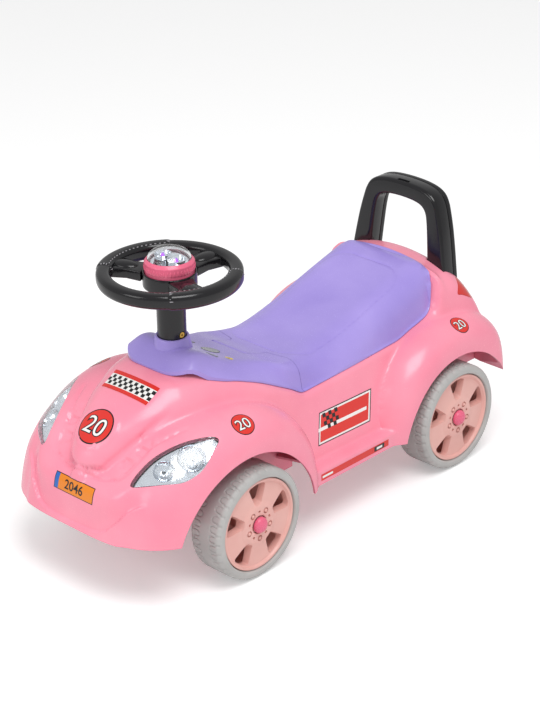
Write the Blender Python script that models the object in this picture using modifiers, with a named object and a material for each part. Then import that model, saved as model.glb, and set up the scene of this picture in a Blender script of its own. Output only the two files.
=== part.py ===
"""Toddler push car: a moulded body on four wheels, with a steering column that turns the front axle,
a hinged seat over a storage well, a grab handle and a push-button siren in the steering wheel.

Frame: origin on the floor under the middle of the car, nose towards -Y, the car's left side at +X, +Z up.
All lengths are in metres. MM turns a drawing size in millimetres into metres."""

import math

import bmesh
import bpy
import numpy as np
from mathutils import Matrix, Vector

MM = 0.001

# Everything is drawn about the steering column's own datum and placed this far back, to centre the car.
PLACE = Vector((0, 2.3 * MM, 0))

# Wheels and axles
WHEELBASE = 355 * MM
FRONT_AXLE_Y = -151 * MM
REAR_AXLE_Y = FRONT_AXLE_Y + WHEELBASE
TYRE_RADIUS = 67.5 * MM
TYRE_WIDTH = 47.5 * MM
TYRE_SEAT_RADIUS = 56.5 * MM
WHEEL_FACE_X = 143.5 * MM
RIM_WALL = 2.5 * MM
RIM_DISC = 4 * MM
RIM_SPOKES = 5
RIM_HUB_RADIUS = 11 * MM
HUB_CAP_RADIUS = 14.5 * MM
HUB_CAP_HEIGHT = 6.5 * MM
AXLE_RADIUS = 4 * MM
AXLE_Z = TYRE_RADIUS
PUSH_NUT_RADIUS = 8 * MM
PUSH_NUT_THICKNESS = 1.5 * MM
HUB_PROUD = 2.5 * MM
NUT_RECESS = 6 * MM
WINDOW_INNER_RADIUS = 21 * MM
WINDOW_RIM = 8 * MM
AXLE_END_X = WHEEL_FACE_X - NUT_RECESS + PUSH_NUT_THICKNESS + 2 * MM

# Steering
COLUMN_Y = -143 * MM
ROD_RADIUS = 5 * MM
COLUMN_BASE_Z = 240 * MM
COLUMN_RADIUS = 16.8 * MM
HUB_RADIUS = 31 * MM
HUB_FLOOR_Z = 322 * MM
HUB_TOP_Z = 337 * MM
GRIP_RADIUS = 84 * MM
GRIP_TOP_Z = 343 * MM
GRIP_HEIGHT = 17 * MM
GRIP_WIDTH = 18.4 * MM
GRIP_WALL = 2.6 * MM
SPOKE_WIDTH = 30 * MM
SPOKE_THICKNESS = 9 * MM
RING_RADIUS = 28.7 * MM
RING_TOP_Z = 350.5 * MM
RING_RIBS = 30
DOME_RADIUS = 23.7 * MM
DOME_HEIGHT = 14.5 * MM
BUTTON_TRAVEL = 2 * MM
BOLT_Z = 262 * MM
BOLT_RADIUS = 2 * MM
BEAM_HALF_LENGTH = 88 * MM
BEAM_DEPTH = 20 * MM
STEERING_LIMIT = 15
THRUST_WASHER = 1.5 * MM
BOSS_RADIUS = 14 * MM
ROD_FOOT_Z = AXLE_Z + AXLE_RADIUS + 1.5 * MM
ROD_TOP_Z = 302 * MM
PIN_Z = ROD_FOOT_Z + 6 * MM
PIN_RADIUS = 1.6 * MM
SPOKE_ANGLES = (90, 200, 340)
SPOKE_TOP_Z = 335 * MM
BOLT_HEAD = 3 * MM
BOLT_HEAD_RADIUS = 3.6 * MM
NUT_RADIUS = 3.9 * MM
NUT_POCKET_RADIUS = 4.4 * MM

# Button unit in the steering wheel
LED_X = 11 * MM
REFLECTOR_POST = 3 * MM
SPRING_RADIUS = 5.2 * MM
SPRING_WIRE = 0.5 * MM
SPRING_TURNS = 4

# Body shell
BODY_NOSE_Y = -313 * MM
BODY_TAIL_Y = 309 * MM
BODY_HALF_WIDTH = 139.5 * MM
BODY_EDGE_Z = 65 * MM
BODY_WALL = 2.6 * MM
FRONT_EDGE_Z = 81 * MM
REAR_EDGE_Z = 97 * MM
GRILLE_SLOPE = 0.36
GRILLE_STEP = 5 * MM
GRILLE_STEP_Y = -284 * MM
SILL_HALF_WIDTH = 128 * MM
SILL_TOP_Z = 84 * MM
FRONT_ARCH_RADIUS = 108 * MM
REAR_ARCH_RADIUS = 101 * MM
ARCH_DROP = 21 * MM
POST_RADIUS = 5.5 * MM
SCREW_RADIUS = 1.8 * MM
SCREW_HEAD_RADIUS = 4 * MM
POSTS = [(45 * MM, -205 * MM), (62 * MM, 190 * MM)]
ARCH_INNER_X = 89 * MM

# Dash cover and seat
COVER_WALL = 2.5 * MM
COVER_REST = 0.5 * MM
COVER_EDGE = 1.4 * MM
COLLAR_DEPTH = 24 * MM
HINGE_LUG = 5 * MM
COLLAR_TOP_Z = 258 * MM
COLLAR_TOP_RADIUS = 19.5 * MM
COLLAR_FOOT_RADIUS = 24.5 * MM
SEAM_Y = -12 * MM
TONGUE_HALF_WIDTH = 27.5 * MM
TONGUE_FRONT_Y = -55.5 * MM
TONGUE_ROOT_Y = -18 * MM
SEAT_REAR_Y = 232 * MM
HINGE_BARREL_RADIUS = 5.5 * MM
HINGE_PIN_RADIUS = 2 * MM

# Handle
HANDLE_FRONT_Y = 250 * MM
HANDLE_DEPTH = 29 * MM
HANDLE_SPLIT = 19 * MM
HANDLE_TOP_Z = 328 * MM
HANDLE_BASE_Z = 184 * MM
HANDLE_WAIST_Z = 229 * MM
HANDLE_WAIST = 75 * MM
HANDLE_SHOULDER = 52 * MM
HANDLE_BAR = 20 * MM
HANDLE_LEG = 28 * MM
HANDLE_LEAN = 0.06
HANDLE_CORNER = 22 * MM
HANDLE_INNER_CORNER = 12 * MM
HANDLE_GAP = 0.4 * MM
HANDLE_GROOVE = 0.6 * MM
HANDLE_SCREW_X = 62 * MM
SHELF_Z = HANDLE_BASE_Z - 6 * MM

# Storage bin under the seat
BIN_HALF_WIDTH = 58 * MM
BIN_FRONT_Y = 26 * MM
BIN_REAR_Y = 136 * MM
BIN_FLOOR_Z = 106 * MM
BIN_WALL = 2 * MM
BIN_FLANGE = 8 * MM

# Underbody tray
TRAY_Z = 88 * MM
TRAY_THICKNESS = 3 * MM
TRAY_WALL_TOP_Z = 132 * MM
TRAY_NOSE_Y = -238 * MM
TRAY_TAIL_Y = 288 * MM
TRAY_NOSE_HALF = 66 * MM
TRAY_SILL_HALF = 103 * MM
TRAY_TAIL_HALF = 88 * MM
TRAY_STEP = 98 * MM
TRAY_RIB = 2.4 * MM
TRAY_RIB_HEIGHT = 9 * MM
GUIDE_RADIUS = 11 * MM
GUIDE_HEIGHT = 24 * MM
BRACKET_WIDTH = 14 * MM
BRACKET_LENGTH = 24 * MM
BRACKET_BELOW = 10 * MM
STOP_RADIUS = 3 * MM
STOP_REACH = 60 * MM

# Lamps: each outline lies in the lamp's own plane, about its centre
HEADLIGHT_CENTRE = (102 * MM, -233 * MM, 165.5 * MM)
HEADLIGHT_AXIS = (0.478, -0.464, 0.746)
HEADLIGHT_OUTLINE = [
    (-56 * MM, -23 * MM), (-46 * MM, -8 * MM), (-27 * MM, 8 * MM), (-1 * MM, 21 * MM), (24 * MM, 28 * MM),
    (38 * MM, 29.5 * MM), (42.5 * MM, 24.5 * MM), (36 * MM, 11 * MM), (28 * MM, -4 * MM), (18 * MM, -15 * MM),
    (2 * MM, -24 * MM), (-17 * MM, -26 * MM), (-40 * MM, -26 * MM),
]
TAIL_LIGHT_CENTRE = (93 * MM, 270 * MM, 204 * MM)
TAIL_LIGHT_AXIS = (0.88, 0.25, 0.4)
TAIL_LIGHT_OUTLINE = [
    (-16 * MM, 4 * MM), (-7 * MM, 12 * MM), (4 * MM, 10 * MM), (14 * MM, 2 * MM), (18 * MM, -8 * MM),
    (12 * MM, -15 * MM), (-4 * MM, -9.5 * MM),
]
LAMP_DEPTH = 24 * MM
LAMP_PROUD = 20 * MM
LENS_WALL = 2.4 * MM
REFLECTOR_LAP = 1.5 * MM
REFLECTOR_GAP = 1.4 * MM
REFLECTOR_BOWL_Z = 1 * MM
REFLECTOR_BOWLS = [((12 * MM, 5 * MM), 17 * MM), ((-19 * MM, -9 * MM), 13 * MM)]

# Body lines, as (y, value) in millimetres: the centre line, the half width of the bonnet and cabin,
# how far the top falls off towards its sides, the height of the shoulder and the rounding there
BODY_TOP = [
    (-292, 158), (-283, 170), (-265, 187), (-244, 200), (-215, 216), (-183, 231), (-150, 234),
    (-120, 226), (-96, 213), (-61, 192), (-35, 177), (-11, 164), (6, 165), (16, 165.7), (168, 176.3), (176, 177),
    (192, 185), (215, 200), (232, 245), (250, 244), (268, 235), (284, 218), (296, 196), (303, 172), (310, 140),
]
BODY_HALF = [
    (-292, 8), (-286, 18), (-276, 28), (-262, 36), (-241, 45), (-218, 57), (-190, 67), (-159, 74), (-133, 80),
    (-102, 86), (-71, 88), (-30, 88), (60, 90), (180, 90), (230, 92), (262, 93), (310, 88),
]
BODY_CROWN = [(-292, 3), (-200, 10), (-143, 14), (-60, 4), (0, 1), (180, 1), (222, 8), (240, 22), (310, 20)]
BODY_SHOULDER = [(-292, 150), (-215, 195), (-143, 205), (-60, 182), (0, 162), (150, 172), (232, 215), (310, 215)]
BODY_ROUNDING = [
    (-292, 14), (-241, 18), (-190, 30), (-143, 30), (-60, 10), (0, 7), (200, 7), (235, 14), (310, 18),
]
FENDER_CROWN_X = [(-300, 62), (-240, 68), (-200, 76), (-151, 85), (-100, 91), (-40, 96)]
FENDER_FALL = [(-300, 75), (-240, 68), (-200, 56), (-151, 43), (-100, 36), (-40, 34)]

# Lines of the dash cover and seat: the centre line, the half width of the top, how steeply the sides
# lean out, the rounding between them and the plan outline
COVER_TOP = [
    (-190, 243.5), (-148, 243.5), (-120, 234.5), (-100, 226), (-56, 211.5), (-22, 200.5), (0, 198), (20, 198),
    (50, 201), (90, 209), (140, 224), (190, 238), (215, 244.5), (235, 248),
]
COVER_HALF = [
    (-190, 44), (-148, 43), (-120, 46), (-100, 49.5), (-56, 60), (-30, 71), (-12, 72), (20, 67), (60, 68),
    (120, 71), (200, 72), (235, 70),
]
COVER_LEAN = [
    (-190, 800), (-148, 790), (-120, 1100), (-95, 1350), (-62, 950), (-30, 300), (-12, 200), (20, 480),
    (60, 560), (120, 300), (190, 240), (235, 200),
]
COVER_ROUNDING = [(-190, 6), (-112, 5), (-56, 6), (-30, 10), (-12, 18), (20, 26), (60, 30), (200, 30), (235, 24)]
COVER_PLAN = [
    (26, -183.5), (38, -180), (60, -149), (75, -120), (79, -88), (82, -55), (83, -11), (86, 40), (86, 200),
    (84, 217), (77, 228.5), (60, 231.5),
]

# Fits
GAP = 0.3 * MM
RUNNING_GAP = 0.25 * MM
SEAM_GAP = 0.5 * MM

# Facets
WHEEL_STEPS = 30
RIM_STEPS = 20
SMALL_STEPS = 14
ARCH_STEPS = 44
SKIN_STATIONS = [
    -276 * MM, -264 * MM, -250 * MM, -234 * MM, -216 * MM, -196 * MM, -176 * MM, -156 * MM, -138 * MM,
    -120 * MM, -102 * MM, -85 * MM, -68 * MM, -54 * MM, -42 * MM, -30 * MM, -12 * MM, 16 * MM, 60 * MM, 90 * MM,
    108 * MM, 126 * MM, 145 * MM, 165 * MM, 186 * MM, 203 * MM, 216 * MM, 225 * MM, 233 * MM, 243 * MM,
    256 * MM, 268 * MM, 280 * MM, 291 * MM,
]
SKIN_GRID = (SKIN_STATIONS, ((0, 24, 46, 64, 78), (0, 30, 58, 78)), 11)
SKIN_BASE_Z = BODY_EDGE_Z - 5 * MM
SIDE = 170 * MM
COVER_STATIONS = [
    -176 * MM, -164 * MM, -150 * MM, -132 * MM, -112 * MM, -90 * MM, -70 * MM, -50 * MM, -30 * MM, -10 * MM,
    12 * MM, 40 * MM, 72 * MM, 110 * MM, 150 * MM, 185 * MM, 205 * MM, 217 * MM,
]
COVER_GRID = (COVER_STATIONS, ((0, 45, 72), (0, 30, 60, 78)), 9)
COVER_BASE_Z = 140 * MM


def smooth_max(a, b, radius):
    """The larger of two fields, rounded where they meet."""
    h = np.clip(0.5 + 0.5 * (a - b) / radius, 0.0, 1.0)
    return b + (a - b) * h + radius * h * (1.0 - h)


def smooth_min(a, b, radius):
    return -smooth_max(-a, -b, radius)


def along(stations, y):
    """Smooth curve through (y, value) stations in millimetres, with no overshoot between them."""
    points = np.array(stations, float) * MM
    at, value = points[:, 0], points[:, 1]
    step = np.diff(at)
    slope = np.diff(value) / step
    same_way = slope[:-1] * slope[1:] > 0
    w1, w2 = 2 * step[1:] + step[:-1], step[1:] + 2 * step[:-1]
    safe = np.where(same_way, slope[:-1], 1.0), np.where(same_way, slope[1:], 1.0)
    inner = np.where(same_way, (w1 + w2) / (w1 / safe[0] + w2 / safe[1]), 0.0)
    tangent = np.concatenate([slope[:1], inner, slope[-1:]])
    y = np.clip(y, at[0], at[-1])
    i = np.clip(np.searchsorted(at, y, side="right") - 1, 0, len(at) - 2)
    t = (y - at[i]) / step[i]
    rise = (1 + 2 * t) * (1 - t) ** 2 * value[i] + t * (1 - t) ** 2 * step[i] * tangent[i]
    return rise + t * t * (3 - 2 * t) * value[i + 1] + t * t * (t - 1) * step[i] * tangent[i + 1]


def cabin_field(x, y, z):
    """Bonnet, waist, seat deck and tail."""
    half = along(BODY_HALF, y)
    side = x - (half + 0.25 * (along(BODY_SHOULDER, y) - z))
    fall = along(BODY_CROWN, y) * (x / np.maximum(half, 20 * MM)) ** 2
    top = z - (along(BODY_TOP, y) - fall)
    return smooth_max(side * 0.97, top * 0.9, along(BODY_ROUNDING, y))


def fender_field(x, y, z, centre, reach, height, power, crown_x, fall):
    """A tube of a fender over one wheel: a superellipse seen from the side, falling off outwards."""
    before = y < centre[0]
    length = np.where(before, reach[0], reach[1])
    p = np.where(before, power[0], power[1])
    radial = ((np.abs(y - centre[0]) / length) ** p + (np.maximum(z - centre[1], 0) / height) ** p) ** (1 / p)
    out = np.clip((x - crown_x) / (BODY_HALF_WIDTH - crown_x), 0, None)
    drop = np.where(out < 1, 1 - np.sqrt(np.maximum(1 - out**2, 0)), 1 + (out - 1) * 6) * fall / height
    return height * (radial - (1 - drop)) * 0.8


def front_fender_field(x, y, z):
    reach, power = (158 * MM, 122 * MM), (2.2, 2.2)
    centre = (FRONT_AXLE_Y, AXLE_Z)
    return fender_field(x, y, z, centre, reach, 129 * MM, power, along(FENDER_CROWN_X, y), along(FENDER_FALL, y))


def rear_fender_field(x, y, z):
    reach, power = (122 * MM, 112 * MM), (2.0, 2.8)
    centre = (REAR_AXLE_Y + 7 * MM, AXLE_Z + 2.5 * MM)
    return fender_field(x, y, z, centre, reach, 116 * MM, power, 97 * MM, 32 * MM)


def grille_field(x, y, z):
    """The panel between the bonnet's nose and the headlights, with a narrow step along its top."""
    height = 137 * MM + GRILLE_SLOPE * (y + 291 * MM)
    step = smooth_max(z - height - GRILLE_STEP, (GRILLE_STEP_Y + 0.5 * x) - y, 2 * MM)
    panel = smooth_min(z - height, step, 2 * MM) * 0.9
    return smooth_max(smooth_max(panel, y + 215 * MM, 10 * MM), x - 80 * MM, 20 * MM)


def outline_field(x, y, z):
    """The upright walls all round: the bumper, the fenders' sides and the tail."""
    rise = np.maximum(z - FRONT_EDGE_Z, -50 * MM)
    bow = np.minimum(x / BODY_HALF_WIDTH, 1.3) ** 4
    front = BODY_NOSE_Y + 57 * MM * bow + 0.26 * rise - y
    rear = y - (BODY_TAIL_Y - 5 * MM * bow - 0.04 * rise)
    side = x - (BODY_HALF_WIDTH - 0.04 * rise)
    return smooth_max(smooth_max(front, side, 16 * MM), rear, 10 * MM)


def sill_field(x, y, z):
    step = smooth_max(x - SILL_HALF_WIDTH, z - SILL_TOP_Z, 4 * MM)
    middle = (FRONT_AXLE_Y + REAR_AXLE_Y) / 2
    return smooth_max(step, np.abs(y - middle) - 110 * MM, 5 * MM)


def body_field(x, y, z):
    """Negative inside the body's outer skin."""
    x = np.abs(x)
    ends = smooth_min(front_fender_field(x, y, z), grille_field(x, y, z), 10 * MM)
    skin = smooth_min(cabin_field(x, y, z), ends, 7 * MM)
    skin = smooth_min(skin, rear_fender_field(x, y, z), 7 * MM)
    skin = smooth_min(skin, sill_field(x, y, z), 4 * MM)
    return smooth_max(skin, outline_field(x, y, z), 8 * MM)


def cover_field(x, y, z):
    """Negative inside the outer skin of the dash cover and the seat, which run on from each other."""
    x = np.abs(x)
    top = along(COVER_TOP, y)
    lean = along(COVER_LEAN, y)
    side = (x - (along(COVER_HALF, y) + lean * (top - z))) / np.sqrt(1 + lean**2)
    skin = smooth_max(side, z - top, along(COVER_ROUNDING, y))
    nose = (-158 * MM - 2.2 * (243.5 * MM - z) + 30 * MM * (x / (70 * MM)) ** 3 - y) * 0.41
    nose = smooth_max(nose, -196 * MM - y, 4 * MM)
    skin = smooth_max(skin, nose, 6 * MM)
    rear = y - (SEAT_REAR_Y - SEAM_GAP)
    skin = smooth_max(skin, rear, 12 * MM)
    return smooth_min(skin, body_field(x, y, z) - COVER_EDGE, 2 * MM)


def rays(stations, fans, columns, base_z):
    """Rays over the car's left half: level rows at the stations, and a fan of rows at each end."""
    turn = np.linspace(0, math.pi / 2, columns + 1)
    rows = [(stations[0], math.radians(tilt), -1) for tilt in fans[0]]
    rows += [(y, math.pi / 2, 0) for y in stations]
    rows += [(stations[-1], math.radians(tilt), 1) for tilt in reversed(fans[1])]
    origins, directions = [], []
    for y, tilt, way in rows:
        across, ahead = math.sin(tilt), way * math.cos(tilt)
        origins.append(np.stack([0 * turn, y + 0 * turn, base_z + 0 * turn], -1))
        directions.append(np.stack([np.cos(turn) * across, ahead + 0 * turn, np.sin(turn) * across], -1))
    return np.array(origins), np.array(directions)


def skin_points(field, origins, directions, reach=0.36, steps=180):
    """Where each ray last leaves the field's inside."""
    lengths = np.linspace(10 * MM, reach, steps)
    inside = np.stack([field(*np.moveaxis(origins + directions * t, -1, 0)) < 0 for t in lengths])
    last = steps - 1 - np.argmax(inside[::-1], axis=0)
    low, high = lengths[last], lengths[np.minimum(last + 1, steps - 1)]
    for _ in range(24):
        middle = (low + high) / 2
        within = field(*np.moveaxis(origins + directions * middle[..., None], -1, 0)) < 0
        low, high = np.where(within, middle, low), np.where(within, high, middle)
    return origins + directions * ((low + high) / 2)[..., None]


def half_skin(field, grid, base_z):
    """Mesh of the left half of a field's skin, open at its base and at the middle plane."""
    points = skin_points(field, *rays(*grid, base_z))
    points[:, -1, 0] = 0
    points[0, :, 0] = 0
    points[-1, :, 0] = 0
    count = points.shape[1]
    faces = []
    for i in range(points.shape[0] - 1):
        for j in range(count - 1):
            a = i * count + j
            faces.append((a, a + 1, a + count + 1, a + count))
    mesh = bpy.data.meshes.new("skin")
    mesh.from_pydata(points.reshape(-1, 3).tolist(), [], faces)
    edit = bmesh.new()
    edit.from_mesh(mesh)
    bmesh.ops.remove_doubles(edit, verts=edit.verts, dist=0.0001)
    edit.to_mesh(mesh)
    edit.free()
    return mesh


def material(name, colour, roughness, metallic=0.0, alpha=1.0):
    """Plain moulded or metal finish; the colour is given as an sRGB hex."""
    made = bpy.data.materials.new(name)
    made.use_nodes = True
    shader = made.node_tree.nodes["Principled BSDF"]
    values = [int(colour[i : i + 2], 16) / 255 for i in (0, 2, 4)]
    linear = [v / 12.92 if v <= 0.04045 else ((v + 0.055) / 1.055) ** 2.4 for v in values]
    shader.inputs["Base Color"].default_value = (*linear, 1.0)
    shader.inputs["Roughness"].default_value = roughness
    shader.inputs["Metallic"].default_value = metallic
    shader.inputs["Alpha"].default_value = alpha
    return made


def collection(name, hidden=False):
    made = bpy.data.collections.new(name)
    bpy.context.scene.collection.children.link(made)
    made.hide_render = hidden
    return made


def clear_scene():
    for old in list(bpy.data.objects):
        bpy.data.objects.remove(old, do_unlink=True)


def mesh_of(edit, name="shape"):
    bmesh.ops.recalc_face_normals(edit, faces=edit.faces)
    mesh = bpy.data.meshes.new(name)
    edit.to_mesh(mesh)
    edit.free()
    return mesh


def box(low, high):
    """Mesh of a box between two corners."""
    edit = bmesh.new()
    bmesh.ops.create_cube(edit, size=1)
    low, high = Vector(low), Vector(high)
    for vert in edit.verts:
        vert.co = Vector([low[i] + (high[i] - low[i]) * (vert.co[i] + 0.5) for i in range(3)])
    return mesh_of(edit)


def rod(start, end, radius, end_radius=None, steps=SMALL_STEPS):
    """Mesh of a cylinder, or of a cone frustum, between two points."""
    start, end = Vector(start), Vector(end)
    edit = bmesh.new()
    way = end - start
    turn = Vector((0, 0, 1)).rotation_difference(way).to_matrix().to_4x4()
    place = Matrix.Translation((start + end) / 2) @ turn
    top = radius if end_radius is None else end_radius
    bmesh.ops.create_cone(
        edit, cap_ends=True, segments=steps, radius1=radius, radius2=top, depth=way.length, matrix=place
    )
    return mesh_of(edit)


def prism(outline, axis, low, high):
    """Mesh of a flat outline drawn out along X, Y or Z, between two planes."""
    edit = bmesh.new()
    others = [i for i in range(3) if i != axis]
    verts = []
    for point in outline:
        corner = [0.0, 0.0, 0.0]
        corner[others[0]], corner[others[1]], corner[axis] = point[0], point[1], low
        verts.append(edit.verts.new(corner))
    face = edit.faces.new(verts)
    drawn = bmesh.ops.extrude_face_region(edit, geom=[face])
    way = Vector([high - low if i == axis else 0.0 for i in range(3)])
    bmesh.ops.translate(edit, vec=way, verts=[v for v in drawn["geom"] if isinstance(v, bmesh.types.BMVert)])
    return mesh_of(edit)


def joined(*meshes):
    """One mesh of several separate shapes."""
    edit = bmesh.new()
    for mesh in meshes:
        edit.from_mesh(mesh)
    return mesh_of(edit)


def moved(mesh, matrix):
    mesh.transform(matrix)
    return mesh


def mirrored(mesh):
    """The same shape on the other side of the middle plane."""
    edit = bmesh.new()
    edit.from_mesh(mesh)
    bmesh.ops.scale(edit, vec=(-1, 1, 1), verts=edit.verts)
    return mesh_of(edit)


def turned(profile, steps=WHEEL_STEPS):
    """Mesh of a profile of (radius, z) points turned about Z; it may start and end on the axis."""
    mesh = bpy.data.meshes.new("profile")
    closed = profile[0][0] > 0
    edges = [(i, i + 1) for i in range(len(profile) - 1)]
    if closed:
        edges.append((len(profile) - 1, 0))
    mesh.from_pydata([(r, 0, z) for r, z in profile], edges, [])
    spun = bpy.data.objects.new("profile", mesh)
    bpy.context.scene.collection.objects.link(spun)
    screw = spun.modifiers.new("Turn", "SCREW")
    screw.angle = math.tau
    screw.steps = steps
    screw.render_steps = steps
    screw.use_merge_vertices = True
    screw.merge_threshold = 1e-5
    bpy.context.view_layer.update()
    evaluated = spun.evaluated_get(bpy.context.evaluated_depsgraph_get())
    edit = bmesh.new()
    edit.from_mesh(evaluated.to_mesh())
    bmesh.ops.remove_doubles(edit, verts=edit.verts, dist=1e-5)
    evaluated.to_mesh_clear()
    bpy.data.objects.remove(spun, do_unlink=True)
    return mesh_of(edit)


def outward(mesh):
    """The mesh with its points welded and its faces turned to look out of the solid."""
    edit = bmesh.new()
    edit.from_mesh(mesh)
    bmesh.ops.remove_doubles(edit, verts=edit.verts, dist=1e-6)
    return mesh_of(edit)


def arc(centre, radius, start, end, steps):
    """Points on an arc, from one angle to another in degrees."""
    turn = [math.radians(start + (end - start) * i / steps) for i in range(steps + 1)]
    return [(centre[0] + radius * math.cos(t), centre[1] + radius * math.sin(t)) for t in turn]


def combined(mesh, operation, shape):
    """The mesh that a Boolean of two shapes gives."""
    first, second = bpy.data.objects.new("first", mesh), bpy.data.objects.new("second", shape)
    for piece in (first, second):
        bpy.context.scene.collection.objects.link(piece)
    modifier = first.modifiers.new("Combine", "BOOLEAN")
    modifier.operation = operation
    modifier.solver = "EXACT"
    modifier.object = second
    bpy.context.view_layer.update()
    graph = bpy.context.evaluated_depsgraph_get()
    result = bpy.data.meshes.new_from_object(first.evaluated_get(graph), depsgraph=graph)
    for piece in (first, second):
        bpy.data.objects.remove(piece, do_unlink=True)
    return result


def smooth_loop(points, steps=4):
    """A closed curve through the points, by Catmull and Rom's rule."""
    loop = []
    count = len(points)
    for i in range(count):
        p0, p1, p2, p3 = (np.array(points[(i + j - 1) % count]) for j in range(4))
        for k in range(steps):
            t = k / steps
            bend = 2 * p1 + (p2 - p0) * t + (2 * p0 - 5 * p1 + 4 * p2 - p3) * t**2
            loop.append(tuple((bend + (3 * p1 - p0 - 3 * p2 + p3) * t**3) / 2))
    return loop


class Model:
    """The collections, the materials and the way pieces are added."""

    def __init__(self):
        self.parts = collection("toddler_push_car")
        self.helpers = collection("helpers", hidden=True)
        self.finish = {
            "pink": material("pink polypropylene", "F78FA7", 0.28),
            "lilac": material("lilac polypropylene", "A48FDC", 0.28),
            "black": material("black polypropylene", "17171A", 0.25),
            "grey": material("grey tyre plastic", "B8B8B6", 0.5),
            "rim": material("rim plastic", "F0B4AC", 0.3),
            "cap": material("pink cap plastic", "EE6E8E", 0.3),
            "clear": material("clear plastic", "F2F4F6", 0.05, alpha=0.35),
            "mirror": material("metallised plastic", "C9CCD2", 0.12, 1.0),
            "red": material("red lens plastic", "D8241E", 0.15),
            "steel": material("zinc plated steel", "A9ABAE", 0.3, 1.0),
            "brass": material("brass", "B8934A", 0.25, 1.0),
            "board": material("circuit board", "2E6B3E", 0.5),
        }

    def add(self, name, mesh, finish, steps=(), pivot=None):
        """One piece: its mesh, and the shapes cut from it, fused to it or kept of it, in order."""
        piece = bpy.data.objects.new(name, mesh)
        self.parts.objects.link(piece)
        mesh.materials.clear()
        mesh.materials.append(self.finish[finish])
        for operation, shape in steps:
            self.boolean(piece, shape, operation)
        if pivot is not None:
            mesh.transform(Matrix.Translation(-Vector(pivot)))
        piece.location = Vector(pivot or (0, 0, 0)) + PLACE
        return piece

    def helper(self, mesh, name="helper"):
        shape = bpy.data.objects.new(name, mesh)
        shape.display_type = "WIRE"
        shape.hide_render = True
        shape.location = PLACE
        self.helpers.objects.link(shape)
        return shape

    def boolean(self, piece, shape, operation):
        if isinstance(shape, bpy.types.Mesh):
            shape = self.helper(shape, piece.name + "_" + operation.lower())
        modifier = piece.modifiers.new(operation.title(), "BOOLEAN")
        modifier.operation = operation
        modifier.solver = "EXACT"
        modifier.object = shape


def body_solid(inset=0.0, base_z=SKIN_BASE_Z):
    """Closed solid inside the body's skin, moved in by the inset."""
    return closed_skin(lambda x, y, z: body_field(x, y, z) + inset, SKIN_GRID, base_z)


def closed_skin(field, grid, base_z):
    """Closed solid inside a field's skin, both halves, flat at its base."""
    edit = bmesh.new()
    edit.from_mesh(half_skin(field, grid, base_z))
    copied = bmesh.ops.duplicate(edit, geom=edit.verts[:] + edit.edges[:] + edit.faces[:])
    verts = [v for v in copied["geom"] if isinstance(v, bmesh.types.BMVert)]
    bmesh.ops.scale(edit, vec=(-1, 1, 1), verts=verts)
    bmesh.ops.remove_doubles(edit, verts=edit.verts, dist=0.0001)
    rim = [edge for edge in edit.edges if edge.is_boundary]
    bmesh.ops.contextual_create(edit, geom=rim)
    bmesh.ops.triangulate(edit, faces=edit.faces)
    return mesh_of(edit)


def arch(centre, radius):
    """Cutter for one wheel arch, on both sides of the car."""
    outline = arc(centre, radius, 0, 360 - 360 / ARCH_STEPS, ARCH_STEPS - 1)
    solid = prism(outline, 0, ARCH_INNER_X, SIDE)
    return joined(solid, mirrored(solid))


def below_body():
    """Cutter for the lower edge: the sill, and higher up the bumper and the tail."""
    nose, tail = BODY_NOSE_Y - 30 * MM, BODY_TAIL_Y + 30 * MM
    steps = [(nose, FRONT_EDGE_Z), (FRONT_AXLE_Y, FRONT_EDGE_Z), (FRONT_AXLE_Y, BODY_EDGE_Z)]
    steps += [(REAR_AXLE_Y, BODY_EDGE_Z), (REAR_AXLE_Y, REAR_EDGE_Z), (tail, REAR_EDGE_Z)]
    return prism(steps + [(tail, 20 * MM), (nose, 20 * MM)], 0, -SIDE, SIDE)


def at_posts(low, high, radius, steps):
    """Upright cylinders at all the screw posts."""
    spots = [(side * x, y) for x, y in POSTS for side in (-1, 1)]
    return joined(*[rod((x, y, low), (x, y, high), radius, steps=steps) for x, y in spots])


def lamp_frame(centre, axis):
    """Matrix from a lamp's own plane, with X level and Z out, to the car."""
    out = Vector(axis).normalized()
    level = Vector((0, 0, 1)).cross(out).normalized()
    up = out.cross(level)
    return Matrix.Translation(centre) @ Matrix((level, up, out)).transposed().to_4x4()


def lamp_prism(frame, outline, grow):
    """The lamp's outline, made larger by some length, drawn out through the skin."""
    points = np.array(smooth_loop(outline))
    middle = points.mean(axis=0)
    ahead, behind = np.roll(points, -1, axis=0), np.roll(points, 1, axis=0)
    along_edge = ahead - behind
    normal = np.stack([along_edge[:, 1], -along_edge[:, 0]], -1)
    normal /= np.linalg.norm(normal, axis=1)[:, None]
    if ((points - middle) * normal).sum() < 0:
        normal = -normal
    return moved(prism((points + normal * grow).tolist(), 2, -LAMP_DEPTH, LAMP_PROUD), frame)


def lamps():
    return [
        (lamp_frame(HEADLIGHT_CENTRE, HEADLIGHT_AXIS), HEADLIGHT_OUTLINE),
        (lamp_frame(TAIL_LIGHT_CENTRE, TAIL_LIGHT_AXIS), TAIL_LIGHT_OUTLINE),
    ]


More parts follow.
